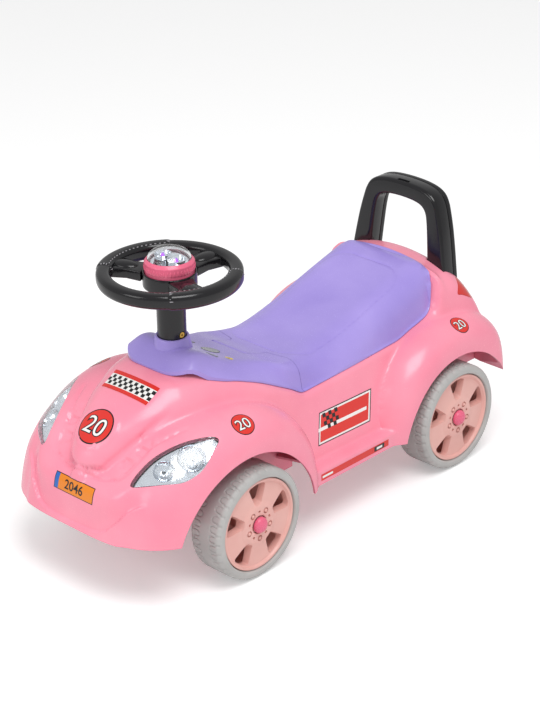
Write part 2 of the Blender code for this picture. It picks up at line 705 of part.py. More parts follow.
def handle_outline(grow=0.0):
    """Front view of the handle: one outline round the outside and back round the inside."""
    waist, top, base = HANDLE_WAIST_Z, HANDLE_TOP_Z, HANDLE_BASE_Z
    rise = top - waist
    under = top - HANDLE_BAR
    taper = (HANDLE_WAIST - HANDLE_SHOULDER) / rise

    def outer_x(z):
        bow = 0.55 + 0.45 * min(max((z - waist) / rise, 0), 1)
        return HANDLE_WAIST - taper * (z - waist) * bow

    def inner_x(z):
        return outer_x(z) - HANDLE_LEG + (HANDLE_LEG - HANDLE_BAR) * (z - waist) / rise

    outside, inside = HANDLE_CORNER, HANDLE_INNER_CORNER
    outer = [(outer_x(z) + grow, z) for z in (base, waist, waist + 40 * MM, top - outside - 8 * MM)]
    outer += arc((outer_x(top) - outside + 1 * MM, top - outside), outside + grow, 12, 90, 5)
    inner = [(inner_x(z) - grow, z) for z in (base, waist, waist + 40 * MM, under - inside - 4 * MM)]
    inner += arc((inner_x(under) - inside, under - inside), inside - grow, 10, 90, 4)
    across_top = [(-x, z) for x, z in outer[::-1]]
    return outer + across_top + [(-x, z) for x, z in inner] + inner[::-1]


def lean(mesh):
    """Lean a handle shape back as it rises."""
    for vert in mesh.vertices:
        vert.co.y += HANDLE_LEAN * (vert.co.z - HANDLE_WAIST_Z)
    return mesh


def handle_screw_spots():
    y = HANDLE_FRONT_Y + HANDLE_SPLIT / 2 + HANDLE_LEAN * (HANDLE_BASE_Z - HANDLE_WAIST_Z)
    return [(side * HANDLE_SCREW_X, y) for side in (1, -1)]


def body_shell(model):
    foot = TRAY_Z + TRAY_THICKNESS + GAP
    shelf = box((-SIDE, HANDLE_FRONT_Y - 10 * MM, SHELF_Z), (SIDE, SIDE * 2, HANDLE_BASE_Z - GAP))
    kept = joined(at_posts(foot, 320 * MM, POST_RADIUS, 10), shelf)
    hollow = combined(body_solid(BODY_WALL, SKIN_BASE_Z - 3 * MM), "DIFFERENCE", kept)
    cuts = [at_posts(foot - 5 * MM, foot + 16 * MM, SCREW_RADIUS + GAP, 8)]
    well = BIN_HALF_WIDTH + GAP
    cuts.append(box((-well, BIN_FRONT_Y - GAP, 120 * MM), (well, BIN_REAR_Y + GAP, 200 * MM)))
    cuts += [rod((x, y, SHELF_Z - 5 * MM), (x, y, HANDLE_BASE_Z - 0.1 * MM), SCREW_RADIUS + GAP, steps=8)
             for x, y in handle_screw_spots()]
    column = (0, COLUMN_Y)
    cuts.append(rod((*column, 200 * MM), (*column, 250 * MM), ROD_RADIUS + SEAM_GAP, steps=16))
    core = body_solid(BODY_WALL + 2 * MM)
    openings = []
    for frame, outline in lamps():
        opening = combined(lamp_prism(frame, outline, 0), "DIFFERENCE", core)
        openings += [opening, mirrored(opening)]
    slot_front, slot_rear = HANDLE_FRONT_Y - HANDLE_GAP, HANDLE_FRONT_Y + HANDLE_DEPTH + HANDLE_GAP
    cuts.append(lean(prism(handle_outline(HANDLE_GAP), 1, slot_front, slot_rear)))
    arches = [
        arch((FRONT_AXLE_Y - 9 * MM, AXLE_Z - ARCH_DROP), FRONT_ARCH_RADIUS),
        arch((REAR_AXLE_Y + 7.5 * MM, AXLE_Z - ARCH_DROP), REAR_ARCH_RADIUS),
    ]
    steps = [
        ("DIFFERENCE", hollow),
        ("DIFFERENCE", below_body()),
        ("DIFFERENCE", joined(*arches)),
        ("DIFFERENCE", joined(*openings)),
        ("DIFFERENCE", joined(*cuts)),
    ]
    model.add("body_shell", body_solid(), "pink", steps)


def cover_solid(inset=0.0, drop=0.0):
    """Closed solid inside the skin that the dash cover and the seat share."""
    return closed_skin(lambda x, y, z: cover_field(x, y, z) + inset, COVER_GRID, COVER_BASE_Z - drop)


def seam_outline(gap):
    """Plan view of the seat's side of the seam, with its tongue, pulled back by a gap."""
    half, root = TONGUE_HALF_WIDTH - gap, TONGUE_ROOT_Y + gap
    corner = 6 * MM
    right = [(half, TONGUE_FRONT_Y + gap), (half, root - corner)]
    right += arc((half + corner, root - corner), corner, 180, 90, 3)[1:]
    right += [(TONGUE_HALF_WIDTH * 2, SEAM_Y + gap), (SIDE, SEAM_Y + gap), (SIDE, SIDE * 2)]
    return right + [(-x, y) for x, y in right[::-1]]


def hinge_axis():
    """(y, z) of the seat's hinge: the barrel ends the tongue and lies just under its top."""
    y = TONGUE_FRONT_Y + SEAM_GAP + HINGE_BARREL_RADIUS
    return y, float(along(COVER_TOP, np.array(y))) - HINGE_BARREL_RADIUS


def across(y, z, half, radius, steps=SMALL_STEPS):
    """A rod across the car, about the middle plane."""
    return rod((-half, y, z), (half, y, z), radius, steps=steps)


def cover_wall():
    """Shell of the dash cover and the seat before they part, standing just clear of the body."""
    right = [(x * MM, y * MM) for x, y in COVER_PLAN]
    plan = smooth_loop(right + [(-x, y) for x, y in right[::-1]], 3)
    outer = combined(cover_solid(), "INTERSECT", prism(plan, 2, 100 * MM, 300 * MM))
    shell = combined(outer, "DIFFERENCE", cover_solid(COVER_WALL, 3 * MM))
    return combined(shell, "DIFFERENCE", body_solid(-COVER_REST))


def dash_cover(model, wall):
    y, z = hinge_axis()
    column = Vector((0, COLUMN_Y, 0))
    up = Vector((0, 0, 1))
    reach = HINGE_BARREL_RADIUS
    slope = [float(along(COVER_TOP, np.array(y + way))) - 1 * MM for way in (-reach, reach)]
    lug = [(y - reach, z - reach), (y + reach, z - reach), (y + reach, slope[1]), (y - reach, slope[0])]
    inner_face = TONGUE_HALF_WIDTH + GAP
    lugs = prism(lug, 0, inner_face, inner_face + HINGE_LUG)
    collar = rod(column + up * (COLLAR_TOP_Z - COLLAR_DEPTH), column + up * COLLAR_TOP_Z,
                 COLLAR_FOOT_RADIUS, COLLAR_TOP_RADIUS, 24)
    collar = combined(collar, "DIFFERENCE", body_solid(-COVER_REST))
    bore = rod(column + up * 200 * MM, column + up * 300 * MM, COLUMN_RADIUS + SEAM_GAP, steps=24)
    pin_hole = across(y, z, inner_face + HINGE_LUG + 1 * MM, HINGE_PIN_RADIUS + GAP, 12)
    steps = [
        ("DIFFERENCE", prism(seam_outline(0), 2, 100 * MM, 300 * MM)),
        ("UNION", joined(lugs, mirrored(lugs))),
        ("UNION", collar),
        ("DIFFERENCE", joined(bore, pin_hole)),
    ]
    model.add("dash_cover", wall.copy(), "lilac", steps)


def seat_lid(model, wall):
    y, z = hinge_axis()
    half = TONGUE_HALF_WIDTH - SEAM_GAP
    steps = [
        ("INTERSECT", prism(seam_outline(SEAM_GAP), 2, 100 * MM, 300 * MM)),
        ("DIFFERENCE", box((-SIDE, TONGUE_FRONT_Y, 100 * MM), (SIDE, y, 300 * MM))),
        ("UNION", across(y, z, half, HINGE_BARREL_RADIUS, 16)),
        ("DIFFERENCE", across(y, z, half + 1 * MM, HINGE_PIN_RADIUS + GAP, 12)),
    ]
    model.add("seat_lid", wall.copy(), "lilac", steps, pivot=(0, y, z))


def hinge_pin(model):
    y, z = hinge_axis()
    half = TONGUE_HALF_WIDTH + HINGE_LUG
    model.add("seat_hinge_pin", across(y, z, half, HINGE_PIN_RADIUS, 12), "steel")


def rounded(half_x, low_y, high_y, corner, z, steps=3):
    """Plan outline of a box with rounded corners, on a level plane or on the sloping deck."""
    points = []
    for centre, start in (((half_x - corner, low_y + corner), -90), ((half_x - corner, high_y - corner), 0),
                          ((-half_x + corner, high_y - corner), 90), ((-half_x + corner, low_y + corner), 180)):
        points += arc(centre, corner, start, start + 90, steps)
    return [(x, y, z(y) if callable(z) else z) for x, y in points]


def storage_bin(model):
    """Tub that hangs in the deck by its flange."""
    lift = float(along(BODY_TOP, np.array(BIN_FRONT_Y))) + GAP
    fall = (float(along(BODY_TOP, np.array(BIN_REAR_Y))) + GAP - lift) / (BIN_REAR_Y - BIN_FRONT_Y)

    def deck(extra):
        return lambda y: lift + fall * (y - BIN_FRONT_Y) + extra

    half, low, high = BIN_HALF_WIDTH, BIN_FRONT_Y, BIN_REAR_Y
    wall, flange, draft = BIN_WALL, BIN_FLANGE, 5 * MM
    rings = [
        rounded(half - draft, low + draft, high - draft, 10 * MM, BIN_FLOOR_Z),
        rounded(half, low, high, 10 * MM, deck(0)),
        rounded(half + flange, low - flange, high + flange, 10 * MM, deck(0)),
        rounded(half + flange, low - flange, high + flange, 10 * MM, deck(wall)),
        rounded(half - wall, low + wall, high - wall, 8 * MM, deck(wall)),
        rounded(half - draft - wall, low + draft + wall, high - draft - wall, 8 * MM, BIN_FLOOR_Z + wall),
    ]
    model.add("storage_bin", lofted(rings), "black", pivot=None)


def lofted(rings):
    """Closed solid through rings of as many points each, capped at both ends."""
    edit = bmesh.new()
    loops = [[edit.verts.new(point) for point in ring] for ring in rings]
    for near, far in zip(loops, loops[1:]):
        for i, vert in enumerate(near):
            j = (i + 1) % len(near)
            edit.faces.new((vert, near[j], far[j], far[i]))
    edit.faces.new(loops[0])
    edit.faces.new(loops[-1])
    return mesh_of(edit)


def handle(model):
    """Two halves of the grab handle, split near the back by a narrow groove."""
    split = HANDLE_FRONT_Y + HANDLE_SPLIT
    rear = HANDLE_FRONT_Y + HANDLE_DEPTH
    grip = 3 * MM
    halves = (("handle_front", HANDLE_FRONT_Y, split), ("handle_rear", split + HANDLE_GROOVE, rear))
    for name, low, high in halves:
        edit = bmesh.new()
        edit.from_mesh(prism(handle_outline(), 1, low, high))
        outside = HANDLE_FRONT_Y if name == "handle_front" else rear
        rim = [e for e in edit.edges if all(abs(v.co.y - outside) < 1e-6 for v in e.verts)
               and max(v.co.z for v in e.verts) > HANDLE_BASE_Z + 1e-6]
        bmesh.ops.bevel(edit, geom=rim, offset=grip, segments=2, profile=0.5, affect="EDGES")
        shape = lean(mesh_of(edit))
        bore = [rod((x, y, HANDLE_BASE_Z - 5 * MM), (x, y, HANDLE_BASE_Z + 14 * MM), SCREW_RADIUS + GAP, steps=8)
                for x, y in handle_screw_spots()]
        steps = [("DIFFERENCE", joined(*bore))] if name == "handle_front" else []
        model.add(name, shape, "black", steps)


def screw(model, name, x, y, under, length):
    """Pan-head screw driven upwards, with its head under a face."""
    top = under - GAP
    head = 2.6 * MM
    profile = [(0, top - head), (SCREW_HEAD_RADIUS * 0.75, top - head), (SCREW_HEAD_RADIUS, top - head * 0.6),
               (SCREW_HEAD_RADIUS, top), (SCREW_RADIUS, top), (SCREW_RADIUS, top + length), (0, top + length)]
    mesh = moved(turned(profile, 8), Matrix.Translation((x, y, 0)))
    model.add(name, mesh, "steel")


def lamp_pieces(model):
    """Head and tail lamps: a lens let into the skin, and a reflector behind each headlight lens."""
    names = (("headlight", "clear"), ("tail_light", "red"))
    outer, inner = body_solid(0.2 * MM), body_solid(LENS_WALL)
    for (frame, outline), (name, finish) in zip(lamps(), names):
        lens = combined(lamp_prism(frame, outline, -GAP), "INTERSECT", outer)
        lens = combined(lens, "DIFFERENCE", inner)
        for side, shape in (("left", lens), ("right", mirrored(lens))):
            model.add(name + "_lens_" + side, shape, finish)
    frame, outline = lamps()[0]
    behind = body_solid(BODY_WALL + REFLECTOR_GAP)
    housing = combined(lamp_prism(frame, outline, REFLECTOR_LAP), "INTERSECT", behind)
    for centre, radius in REFLECTOR_BOWLS:
        edit = bmesh.new()
        place = frame @ Matrix.Translation((*centre, REFLECTOR_BOWL_Z)) @ Matrix.Diagonal((1, 1, 0.8, 1))
        bmesh.ops.create_uvsphere(edit, u_segments=10, v_segments=6, radius=radius, matrix=place)
        housing = combined(housing, "DIFFERENCE", mesh_of(edit))
    for side, shape in (("left", housing), ("right", mirrored(housing))):
        model.add("headlight_reflector_" + side, shape, "mirror")


def tray_outline():
    """Plan of the underbody tray: narrow between the front wheels, wide at the sills."""
    front, rear = FRONT_AXLE_Y, REAR_AXLE_Y
    clear = TYRE_RADIUS + 12 * MM
    right = [(TRAY_NOSE_HALF * 0.6, TRAY_NOSE_Y), (TRAY_NOSE_HALF, TRAY_NOSE_Y + 20 * MM),
             (TRAY_NOSE_HALF, front + TRAY_STEP), (TRAY_SILL_HALF, front + TRAY_STEP + 12 * MM),
             (TRAY_SILL_HALF, rear - clear - 14 * MM), (TRAY_TAIL_HALF, rear - clear),
             (TRAY_TAIL_HALF, TRAY_TAIL_Y - 20 * MM), (TRAY_TAIL_HALF * 0.75, TRAY_TAIL_Y)]
    return right + [(-x, y) for x, y in right[::-1]]


def underbody_tray(model):
    """Floor of the car: it guides the steering rod, holds the rear axle and stops the steering beam."""
    low, high = TRAY_Z, TRAY_Z + TRAY_THICKNESS
    foot = high - 1 * MM
    half = TRAY_RIB / 2
    wall_low, wall_high = REAR_AXLE_Y - TYRE_RADIUS - 8 * MM, TRAY_TAIL_Y - 22 * MM
    walls = box((TRAY_TAIL_HALF - TRAY_RIB, wall_low, foot), (TRAY_TAIL_HALF - 0.2 * MM, wall_high, TRAY_WALL_TOP_Z))
    front_low, front_high = TRAY_NOSE_Y + 24 * MM, FRONT_AXLE_Y + TRAY_STEP - 3 * MM
    front_wall = box((TRAY_NOSE_HALF - TRAY_RIB, front_low, foot),
                     (TRAY_NOSE_HALF - 0.2 * MM, front_high, TRAY_WALL_TOP_Z - 12 * MM))
    ribs = [walls, mirrored(walls), front_wall, mirrored(front_wall)]
    for x in (-30 * MM, 0, 30 * MM):
        ribs.append(box((x - half, COLUMN_Y + 30 * MM, foot), (x + half, REAR_AXLE_Y - 30 * MM, high + TRAY_RIB_HEIGHT)))
    guide = rod((0, COLUMN_Y, foot), (0, COLUMN_Y, high + GUIDE_HEIGHT), GUIDE_RADIUS, steps=20)
    ribs.append(guide)
    outer = TRAY_TAIL_HALF - 1 * MM
    bracket_low = AXLE_Z - BRACKET_BELOW
    bracket = prism([(REAR_AXLE_Y - BRACKET_LENGTH / 2, low + 1 * MM), (REAR_AXLE_Y + BRACKET_LENGTH / 2, low + 1 * MM),
                     (REAR_AXLE_Y + 8 * MM, bracket_low), (REAR_AXLE_Y - 8 * MM, bracket_low)],
                    0, outer - BRACKET_WIDTH, outer)
    limit = math.radians(STEERING_LIMIT + 1)
    depth = FRONT_AXLE_Y - COLUMN_Y + BEAM_DEPTH / 2
    stop_y = COLUMN_Y + STOP_REACH * math.tan(limit) + depth / math.cos(limit) + STOP_RADIUS / math.cos(limit)
    stop = rod((STOP_REACH, stop_y, AXLE_Z + 2 * MM), (STOP_REACH, stop_y, low + 1 * MM), STOP_RADIUS, steps=10)
    below = joined(bracket, mirrored(bracket), stop, mirrored(stop))
    bores = [
        across(REAR_AXLE_Y, AXLE_Z, SIDE, AXLE_RADIUS + RUNNING_GAP, 16),
        rod((0, COLUMN_Y, low - 5 * MM), (0, COLUMN_Y, high + 60 * MM), ROD_RADIUS + RUNNING_GAP, steps=20),
        at_posts(low - 5 * MM, high + 5 * MM, SCREW_RADIUS + GAP, 8),
    ]
    steps = [("UNION", joined(*ribs)), ("UNION", below), ("DIFFERENCE", joined(*bores))]
    model.add("underbody_tray", prism(tray_outline(), 2, low, high), "black", steps)


def steering_beam(model):
    """Moulded beam that holds the front axle and turns with the rod."""
    half, depth = BEAM_HALF_LENGTH, BEAM_DEPTH / 2
    low, y = AXLE_Z - 9 * MM, FRONT_AXLE_Y
    top = TRAY_Z - THRUST_WASHER - 2 * GAP
    side = [(half, low + 2 * MM), (half, AXLE_Z + 8 * MM), (30 * MM, top - 3 * MM), (16 * MM, top - 3 * MM)]
    front = side + [(-x, z) for x, z in side[::-1]]
    beam = prism([(x, z) for x, z in front + [(-20 * MM, low - 3 * MM), (20 * MM, low - 3 * MM)]], 1, y - depth, y + depth)
    boss = rod((0, COLUMN_Y, low - 1 * MM), (0, COLUMN_Y, top), BOSS_RADIUS, steps=20)
    bores = [
        across(y, AXLE_Z, SIDE, AXLE_RADIUS + RUNNING_GAP, 16),
        rod((0, COLUMN_Y, ROD_FOOT_Z - GAP), (0, COLUMN_Y, top + 5 * MM), ROD_RADIUS + RUNNING_GAP, steps=20),
        across(COLUMN_Y, PIN_Z, SIDE, PIN_RADIUS + GAP, 10),
    ]
    steps = [("UNION", boss), ("DIFFERENCE", bores[0]), ("DIFFERENCE", bores[1]), ("DIFFERENCE", bores[2])]
    model.add("front_axle_beam", beam, "black", steps, pivot=(0, COLUMN_Y, 0))


def steering_rod(model):
    pivot = (0, COLUMN_Y, 0)
    shaft = rod((0, COLUMN_Y, ROD_FOOT_Z), (0, COLUMN_Y, ROD_TOP_Z), ROD_RADIUS, steps=20)
    holes = joined(across(COLUMN_Y, PIN_Z, 20 * MM, PIN_RADIUS + GAP, 10),
                   across(COLUMN_Y, BOLT_Z, 30 * MM, BOLT_RADIUS + GAP, 12))
    model.add("steering_rod", shaft, "steel", [("DIFFERENCE", holes)], pivot=pivot)
    pin = across(COLUMN_Y, PIN_Z, BOSS_RADIUS - 0.5 * MM, PIN_RADIUS, 10)
    model.add("beam_pin", pin, "steel", pivot=pivot)
    low = TRAY_Z - GAP - THRUST_WASHER
    ring = [(ROD_RADIUS + GAP, low), (BOSS_RADIUS, low), (BOSS_RADIUS, low + THRUST_WASHER),
            (ROD_RADIUS + GAP, low + THRUST_WASHER)]
    washer = moved(turned(ring, 14), Matrix.Translation(pivot))
    model.add("steering_washer", washer, "steel", pivot=pivot)


def steering_wheel(model):
    """Grip, three spokes, hub cup and stem in one moulding."""
    top, low = GRIP_TOP_Z, GRIP_TOP_Z - GRIP_HEIGHT
    middle, half = GRIP_RADIUS - GRIP_WIDTH / 2, GRIP_WIDTH / 2
    skirt = top - GRIP_HEIGHT * 0.52

    def channel(reach, crown, wall_foot):
        """Half round channel section, open below, from its outer foot to its inner foot."""
        feet = [(middle + reach - 1.2 * MM, wall_foot)]
        bend = [(middle + reach * math.cos(t), skirt + crown * math.sin(t))
                for t in np.linspace(0, math.pi, 5)]
        return feet + bend + [(middle - reach + 1.2 * MM, wall_foot)]

    outside = channel(half, top - skirt, low)
    inside = channel(half - GRIP_WALL, top - skirt - GRIP_WALL, low)
    grip = turned(outside + inside[::-1], WHEEL_STEPS)
    stem = COLUMN_RADIUS
    cup = RING_RADIUS + GAP
    bore = ROD_RADIUS + RUNNING_GAP
    hub = turned([
        (bore, COLUMN_BASE_Z), (stem, COLUMN_BASE_Z), (stem, HUB_FLOOR_Z - 12 * MM),
        (HUB_RADIUS - 6 * MM, HUB_FLOOR_Z - 7 * MM), (HUB_RADIUS, HUB_FLOOR_Z - 2 * MM), (HUB_RADIUS, HUB_TOP_Z),
        (cup, HUB_TOP_Z), (cup, HUB_FLOOR_Z), (bore, HUB_FLOOR_Z),
    ], 24)
    plug = rod((0, 0, ROD_TOP_Z + GAP), (0, 0, HUB_FLOOR_Z - 0.5 * MM), bore + 1 * MM, steps=20)
    spokes = []
    for turn in SPOKE_ANGLES:
        inner_end, outer_end = HUB_RADIUS - 1.5 * MM, middle - half + 1.6 * MM
        wide, waist = SPOKE_WIDTH / 2, SPOKE_WIDTH * 0.42
        outline = [(inner_end, -wide), ((inner_end + outer_end) / 2, -waist), (outer_end, -wide * 1.15),
                   (outer_end, wide * 1.15), ((inner_end + outer_end) / 2, waist), (inner_end, wide)]
        arm = prism(outline, 2, SPOKE_TOP_Z - SPOKE_THICKNESS, SPOKE_TOP_Z)
        edit = bmesh.new()
        bmesh.ops.create_uvsphere(edit, u_segments=8, v_segments=6, radius=1, matrix=Matrix.Translation(
            (middle - half - 15 * MM, 0, SPOKE_TOP_Z + 2 * MM)) @ Matrix.Diagonal((12 * MM, 9 * MM, 6.5 * MM, 1)))
        arm = combined(arm, "DIFFERENCE", mesh_of(edit))
        spokes.append(moved(arm, Matrix.Rotation(math.radians(turn), 4, "Z")))
    wheel = combined(combined(grip, "UNION", joined(*spokes)), "UNION", combined(hub, "UNION", plug))
    moved(wheel, Matrix.Translation((0, COLUMN_Y, 0)))
    counterbore = rod((stem - BOLT_HEAD, COLUMN_Y, BOLT_Z), (stem + 5 * MM, COLUMN_Y, BOLT_Z), NUT_POCKET_RADIUS,
                      steps=16)
    hole = across(COLUMN_Y, BOLT_Z, stem + 3 * MM, BOLT_RADIUS + GAP, 12)
    cut = [counterbore, mirrored(counterbore)]
    model.add("steering_wheel", wheel, "black", [("DIFFERENCE", joined(*cut)), ("DIFFERENCE", hole)],
              pivot=(0, COLUMN_Y, 0))


def column_bolt(model):
    """Bolt and nut that fix the stem to the rod."""
    end = COLUMN_RADIUS - GAP
    seat = COLUMN_RADIUS - BOLT_HEAD + GAP
    turn = Matrix.Translation((0, COLUMN_Y, BOLT_Z)) @ Matrix.Rotation(math.radians(90), 4, "Y")
    socket, socket_depth = BOLT_RADIUS * 0.6, 1.8 * MM
    profile = [(0, -end), (BOLT_RADIUS, -end), (BOLT_RADIUS, seat), (BOLT_HEAD_RADIUS, seat), (BOLT_HEAD_RADIUS, end),
               (socket, end), (socket, end - socket_depth), (0, end - socket_depth)]
    model.add("column_bolt", moved(turned(profile, 12), turn), "brass", pivot=(0, COLUMN_Y, 0))
    nut = combined(rod((0, 0, -end), (0, 0, -seat), NUT_RADIUS, steps=6), "DIFFERENCE",
                   rod((0, 0, -end - 1 * MM), (0, 0, 0), BOLT_RADIUS + GAP, steps=12))
    model.add("column_nut", moved(nut, turn), "brass", pivot=(0, COLUMN_Y, 0))


def wheel_pieces(model, name, side, y, pivot):
    """Tyre, rim, cap and the push nut that holds the wheel on its axle; built with X pointing outwards."""
    inner = -TYRE_WIDTH
    seat, tread = TYRE_SEAT_RADIUS, TYRE_RADIUS
    bead, shoulder = 3 * MM, 4 * MM
    place = Matrix.Translation((side * WHEEL_FACE_X, y, AXLE_Z)) @ Matrix.Rotation(math.radians(90 * side), 4, "Y")
    tyre = [(seat, inner + 1 * MM), (seat + 2 * MM, inner), (tread - shoulder, inner), (tread, inner + shoulder),
            (tread, -shoulder), (tread - shoulder, 0), (seat + 1 * MM, 0), (seat, -bead)]
    model.add(name + "_tyre", moved(turned(tyre, WHEEL_STEPS), place), "grey", pivot=pivot)
    drum = seat * math.cos(math.pi / WHEEL_STEPS) - GAP
    hub, bore = RIM_HUB_RADIUS, AXLE_RADIUS + RUNNING_GAP
    face, back = -bead, -bead - RIM_DISC
    rim = [(bore, inner - HUB_PROUD), (hub, inner - HUB_PROUD), (hub, back), (drum - RIM_WALL, back - 3 * MM),
           (drum - RIM_WALL, inner + 2 * MM), (drum, inner + 2 * MM), (drum, face), (drum - 3 * MM, face),
           (drum - 6 * MM, face - 1.5 * MM), (hub + 8 * MM, face - 0.5 * MM), (hub + 4 * MM, face + 1.5 * MM),
           (hub - 1 * MM, face + 1.5 * MM), (hub - 1 * MM, -NUT_RECESS), (bore, -NUT_RECESS)]
    windows = []
    for i in range(RIM_SPOKES):
        turn = Matrix.Rotation(math.tau * (i + 0.5) / RIM_SPOKES, 4, "Z")
        low_r, high_r = WINDOW_INNER_RADIUS, drum - WINDOW_RIM
        outline = [(low_r, -5 * MM), (low_r + 6 * MM, -11 * MM), (high_r - 5 * MM, -12.5 * MM), (high_r, -6 * MM),
                   (high_r, 6 * MM), (high_r - 5 * MM, 12.5 * MM), (low_r + 6 * MM, 11 * MM), (low_r, 5 * MM)]
        windows.append(moved(prism(outline, 2, back - 12 * MM, 5 * MM), turn))
    body = combined(turned(rim, RIM_STEPS), "DIFFERENCE", joined(*windows))
    model.add(name + "_rim", moved(body, place), "rim", pivot=pivot)
    nut = [(AXLE_RADIUS + GAP, -NUT_RECESS + GAP), (PUSH_NUT_RADIUS, -NUT_RECESS + GAP),
           (PUSH_NUT_RADIUS, -NUT_RECESS + GAP + PUSH_NUT_THICKNESS),
           (AXLE_RADIUS + GAP, -NUT_RECESS + GAP + PUSH_NUT_THICKNESS)]
    model.add(name + "_push_nut", moved(turned(nut, 10), place), "steel", pivot=pivot)
    brim = face + 1.5 * MM + GAP
    wall = 1.8 * MM
    cap = [(0, HUB_CAP_HEIGHT), (HUB_CAP_RADIUS * 0.55, HUB_CAP_HEIGHT - 1 * MM), (HUB_CAP_RADIUS * 0.85, brim + 4.5 * MM),
           (HUB_CAP_RADIUS, brim), (HUB_CAP_RADIUS - 4 * MM, brim), (HUB_CAP_RADIUS * 0.72, brim + 3 * MM),
           (HUB_CAP_RADIUS * 0.5, HUB_CAP_HEIGHT - wall - 1 * MM), (0, HUB_CAP_HEIGHT - wall)]
    model.add(name + "_hub_cap", moved(turned(cap, 14), place), "cap", pivot=pivot)


def axles(model):
    model.add("front_axle", across(FRONT_AXLE_Y, AXLE_Z, AXLE_END_X, AXLE_RADIUS, 16), "steel", pivot=(0, COLUMN_Y, 0))
    model.add("rear_axle", across(REAR_AXLE_Y, AXLE_Z, AXLE_END_X, AXLE_RADIUS, 16), "steel")
    for name, y, in (("front", FRONT_AXLE_Y), ("rear", REAR_AXLE_Y)):
        for side_name, side in (("left", 1), ("right", -1)):
            pivot = (side * (WHEEL_FACE_X - TYRE_WIDTH / 2), y, AXLE_Z)
            wheel_pieces(model, name + "_" + side_name, side, y, pivot)


def button_unit(model):
    """Light and sound unit in the hub: ribbed ring, board with two lamps, spring and the dome that is pressed."""
    pivot = (0, COLUMN_Y, 0)
    place = Matrix.Translation(pivot)
    floor, top = HUB_FLOOR_Z + GAP, RING_TOP_Z
    wall, lip = 3.2 * MM, 1.6 * MM
    inside, mouth = RING_RADIUS - wall, DOME_RADIUS + SEAM_GAP
    ledge = floor + 6 * MM
    ring = turned([
        (inside, floor), (RING_RADIUS - 0.4 * MM, floor), (RING_RADIUS - 0.4 * MM, HUB_TOP_Z + 2.5 * MM),
        (RING_RADIUS, HUB_TOP_Z + 3.5 * MM), (RING_RADIUS, top - 4 * MM), (mouth, top), (mouth, top - lip),
        (inside, top - lip),
    ], RING_RIBS)
    model.add("button_ring", moved(ring, place), "cap", pivot=pivot)
    flange_top = top - lip - GAP
    flange = flange_top - 1.4 * MM
    apex = flange_top + DOME_HEIGHT + lip
    skin = 1.5 * MM
    outside = [(DOME_RADIUS * math.cos(t), flange_top + lip + (apex - flange_top - lip) * math.sin(t) ** 1.2)
               for t in np.linspace(0, math.pi / 2, 5)]
    hollow = [((DOME_RADIUS - skin) * math.cos(t), flange + (apex - skin - flange) * math.sin(t) ** 1.1)
              for t in np.linspace(0, math.pi / 2, 4)]
    outside[-1], hollow[-1] = (0, apex), (0, apex - skin)
    brim = inside - GAP
    profile = outside[::-1] + [(DOME_RADIUS, flange_top), (brim, flange_top), (brim, flange)] + hollow
    model.add("dome_button", moved(turned(profile, 20), place), "clear", pivot=pivot)
    plate_top = flange - GAP
    plate = turned([(0, plate_top), (brim, plate_top), (brim, plate_top - 1.5 * MM), (REFLECTOR_POST, plate_top - 1.5 * MM),
                    (REFLECTOR_POST, plate_top - 5 * MM), (0, plate_top - 5 * MM)], 20)
    holes = [rod((side * LED_X, 0, plate_top - 4 * MM), (side * LED_X, 0, plate_top + 1 * MM), 3.2 * MM, 7.5 * MM, 16)
             for side in (-1, 1)]
    plate = combined(plate, "DIFFERENCE", joined(*holes))
    model.add("dome_reflector", moved(plate, place), "mirror", pivot=pivot)
    board_low = ledge
    board = rod((0, 0, board_low), (0, 0, board_low + 1.6 * MM), inside - GAP, steps=24)
    model.add("circuit_board", moved(board, place), "board", pivot=pivot)
    case = rod((0, 0, floor), (0, 0, board_low - GAP), inside - 1 * MM, steps=20)
    model.add("battery_case", moved(case, place), "black", pivot=pivot)
    led_low = board_low + 1.6 * MM + GAP
    for name, side in (("left", 1), ("right", -1)):
        led = turned([(0, led_low), (2.5 * MM, led_low), (2.5 * MM, led_low + 5 * MM), (1.6 * MM, led_low + 7 * MM),
                      (0, led_low + 7.6 * MM)], 12)
        model.add("led_" + name, moved(led, place @ Matrix.Translation((side * LED_X, 0, 0))), "clear", pivot=pivot)
    model.add("button_spring", moved(coil(led_low, plate_top - 1.5 * MM - GAP), place), "steel", pivot=pivot)


def coil(low, high):
    """Compression spring as one tube along a helix."""
    curve = bpy.data.curves.new("coil", "CURVE")
    curve.dimensions = "3D"
    curve.bevel_depth = SPRING_WIRE
    curve.bevel_resolution = 1
    curve.use_fill_caps = True
    spline = curve.splines.new("POLY")
    count = SPRING_TURNS * 8
    spline.points.add(count)
    low, high = low + SPRING_WIRE, high - SPRING_WIRE
    for i, point in enumerate(spline.points):
        turn = math.tau * SPRING_TURNS * i / count
        place = (SPRING_RADIUS * math.cos(turn), SPRING_RADIUS * math.sin(turn), low + (high - low) * i / count)
        point.co = (*place, 1)
    wire = bpy.data.objects.new("coil", curve)
    bpy.context.scene.collection.objects.link(wire)
    bpy.context.view_layer.update()
    graph = bpy.context.evaluated_depsgraph_get()
    mesh = bpy.data.meshes.new_from_object(wire.evaluated_get(graph), depsgraph=graph)
    bpy.data.objects.remove(wire, do_unlink=True)
    return outward(mesh)


def screws(model):
    spots = [(side * x, y) for x, y in POSTS for side in (1, -1)]
    for i, (x, y) in enumerate(spots):
        screw(model, "tray_screw_" + str(i + 1), x, y, TRAY_Z, 15 * MM)
    for i, (x, y) in enumerate(handle_screw_spots()):
        screw(model, "handle_screw_" + str(i + 1), x, y, SHELF_Z, HANDLE_BASE_Z - SHELF_Z + 10 * MM)


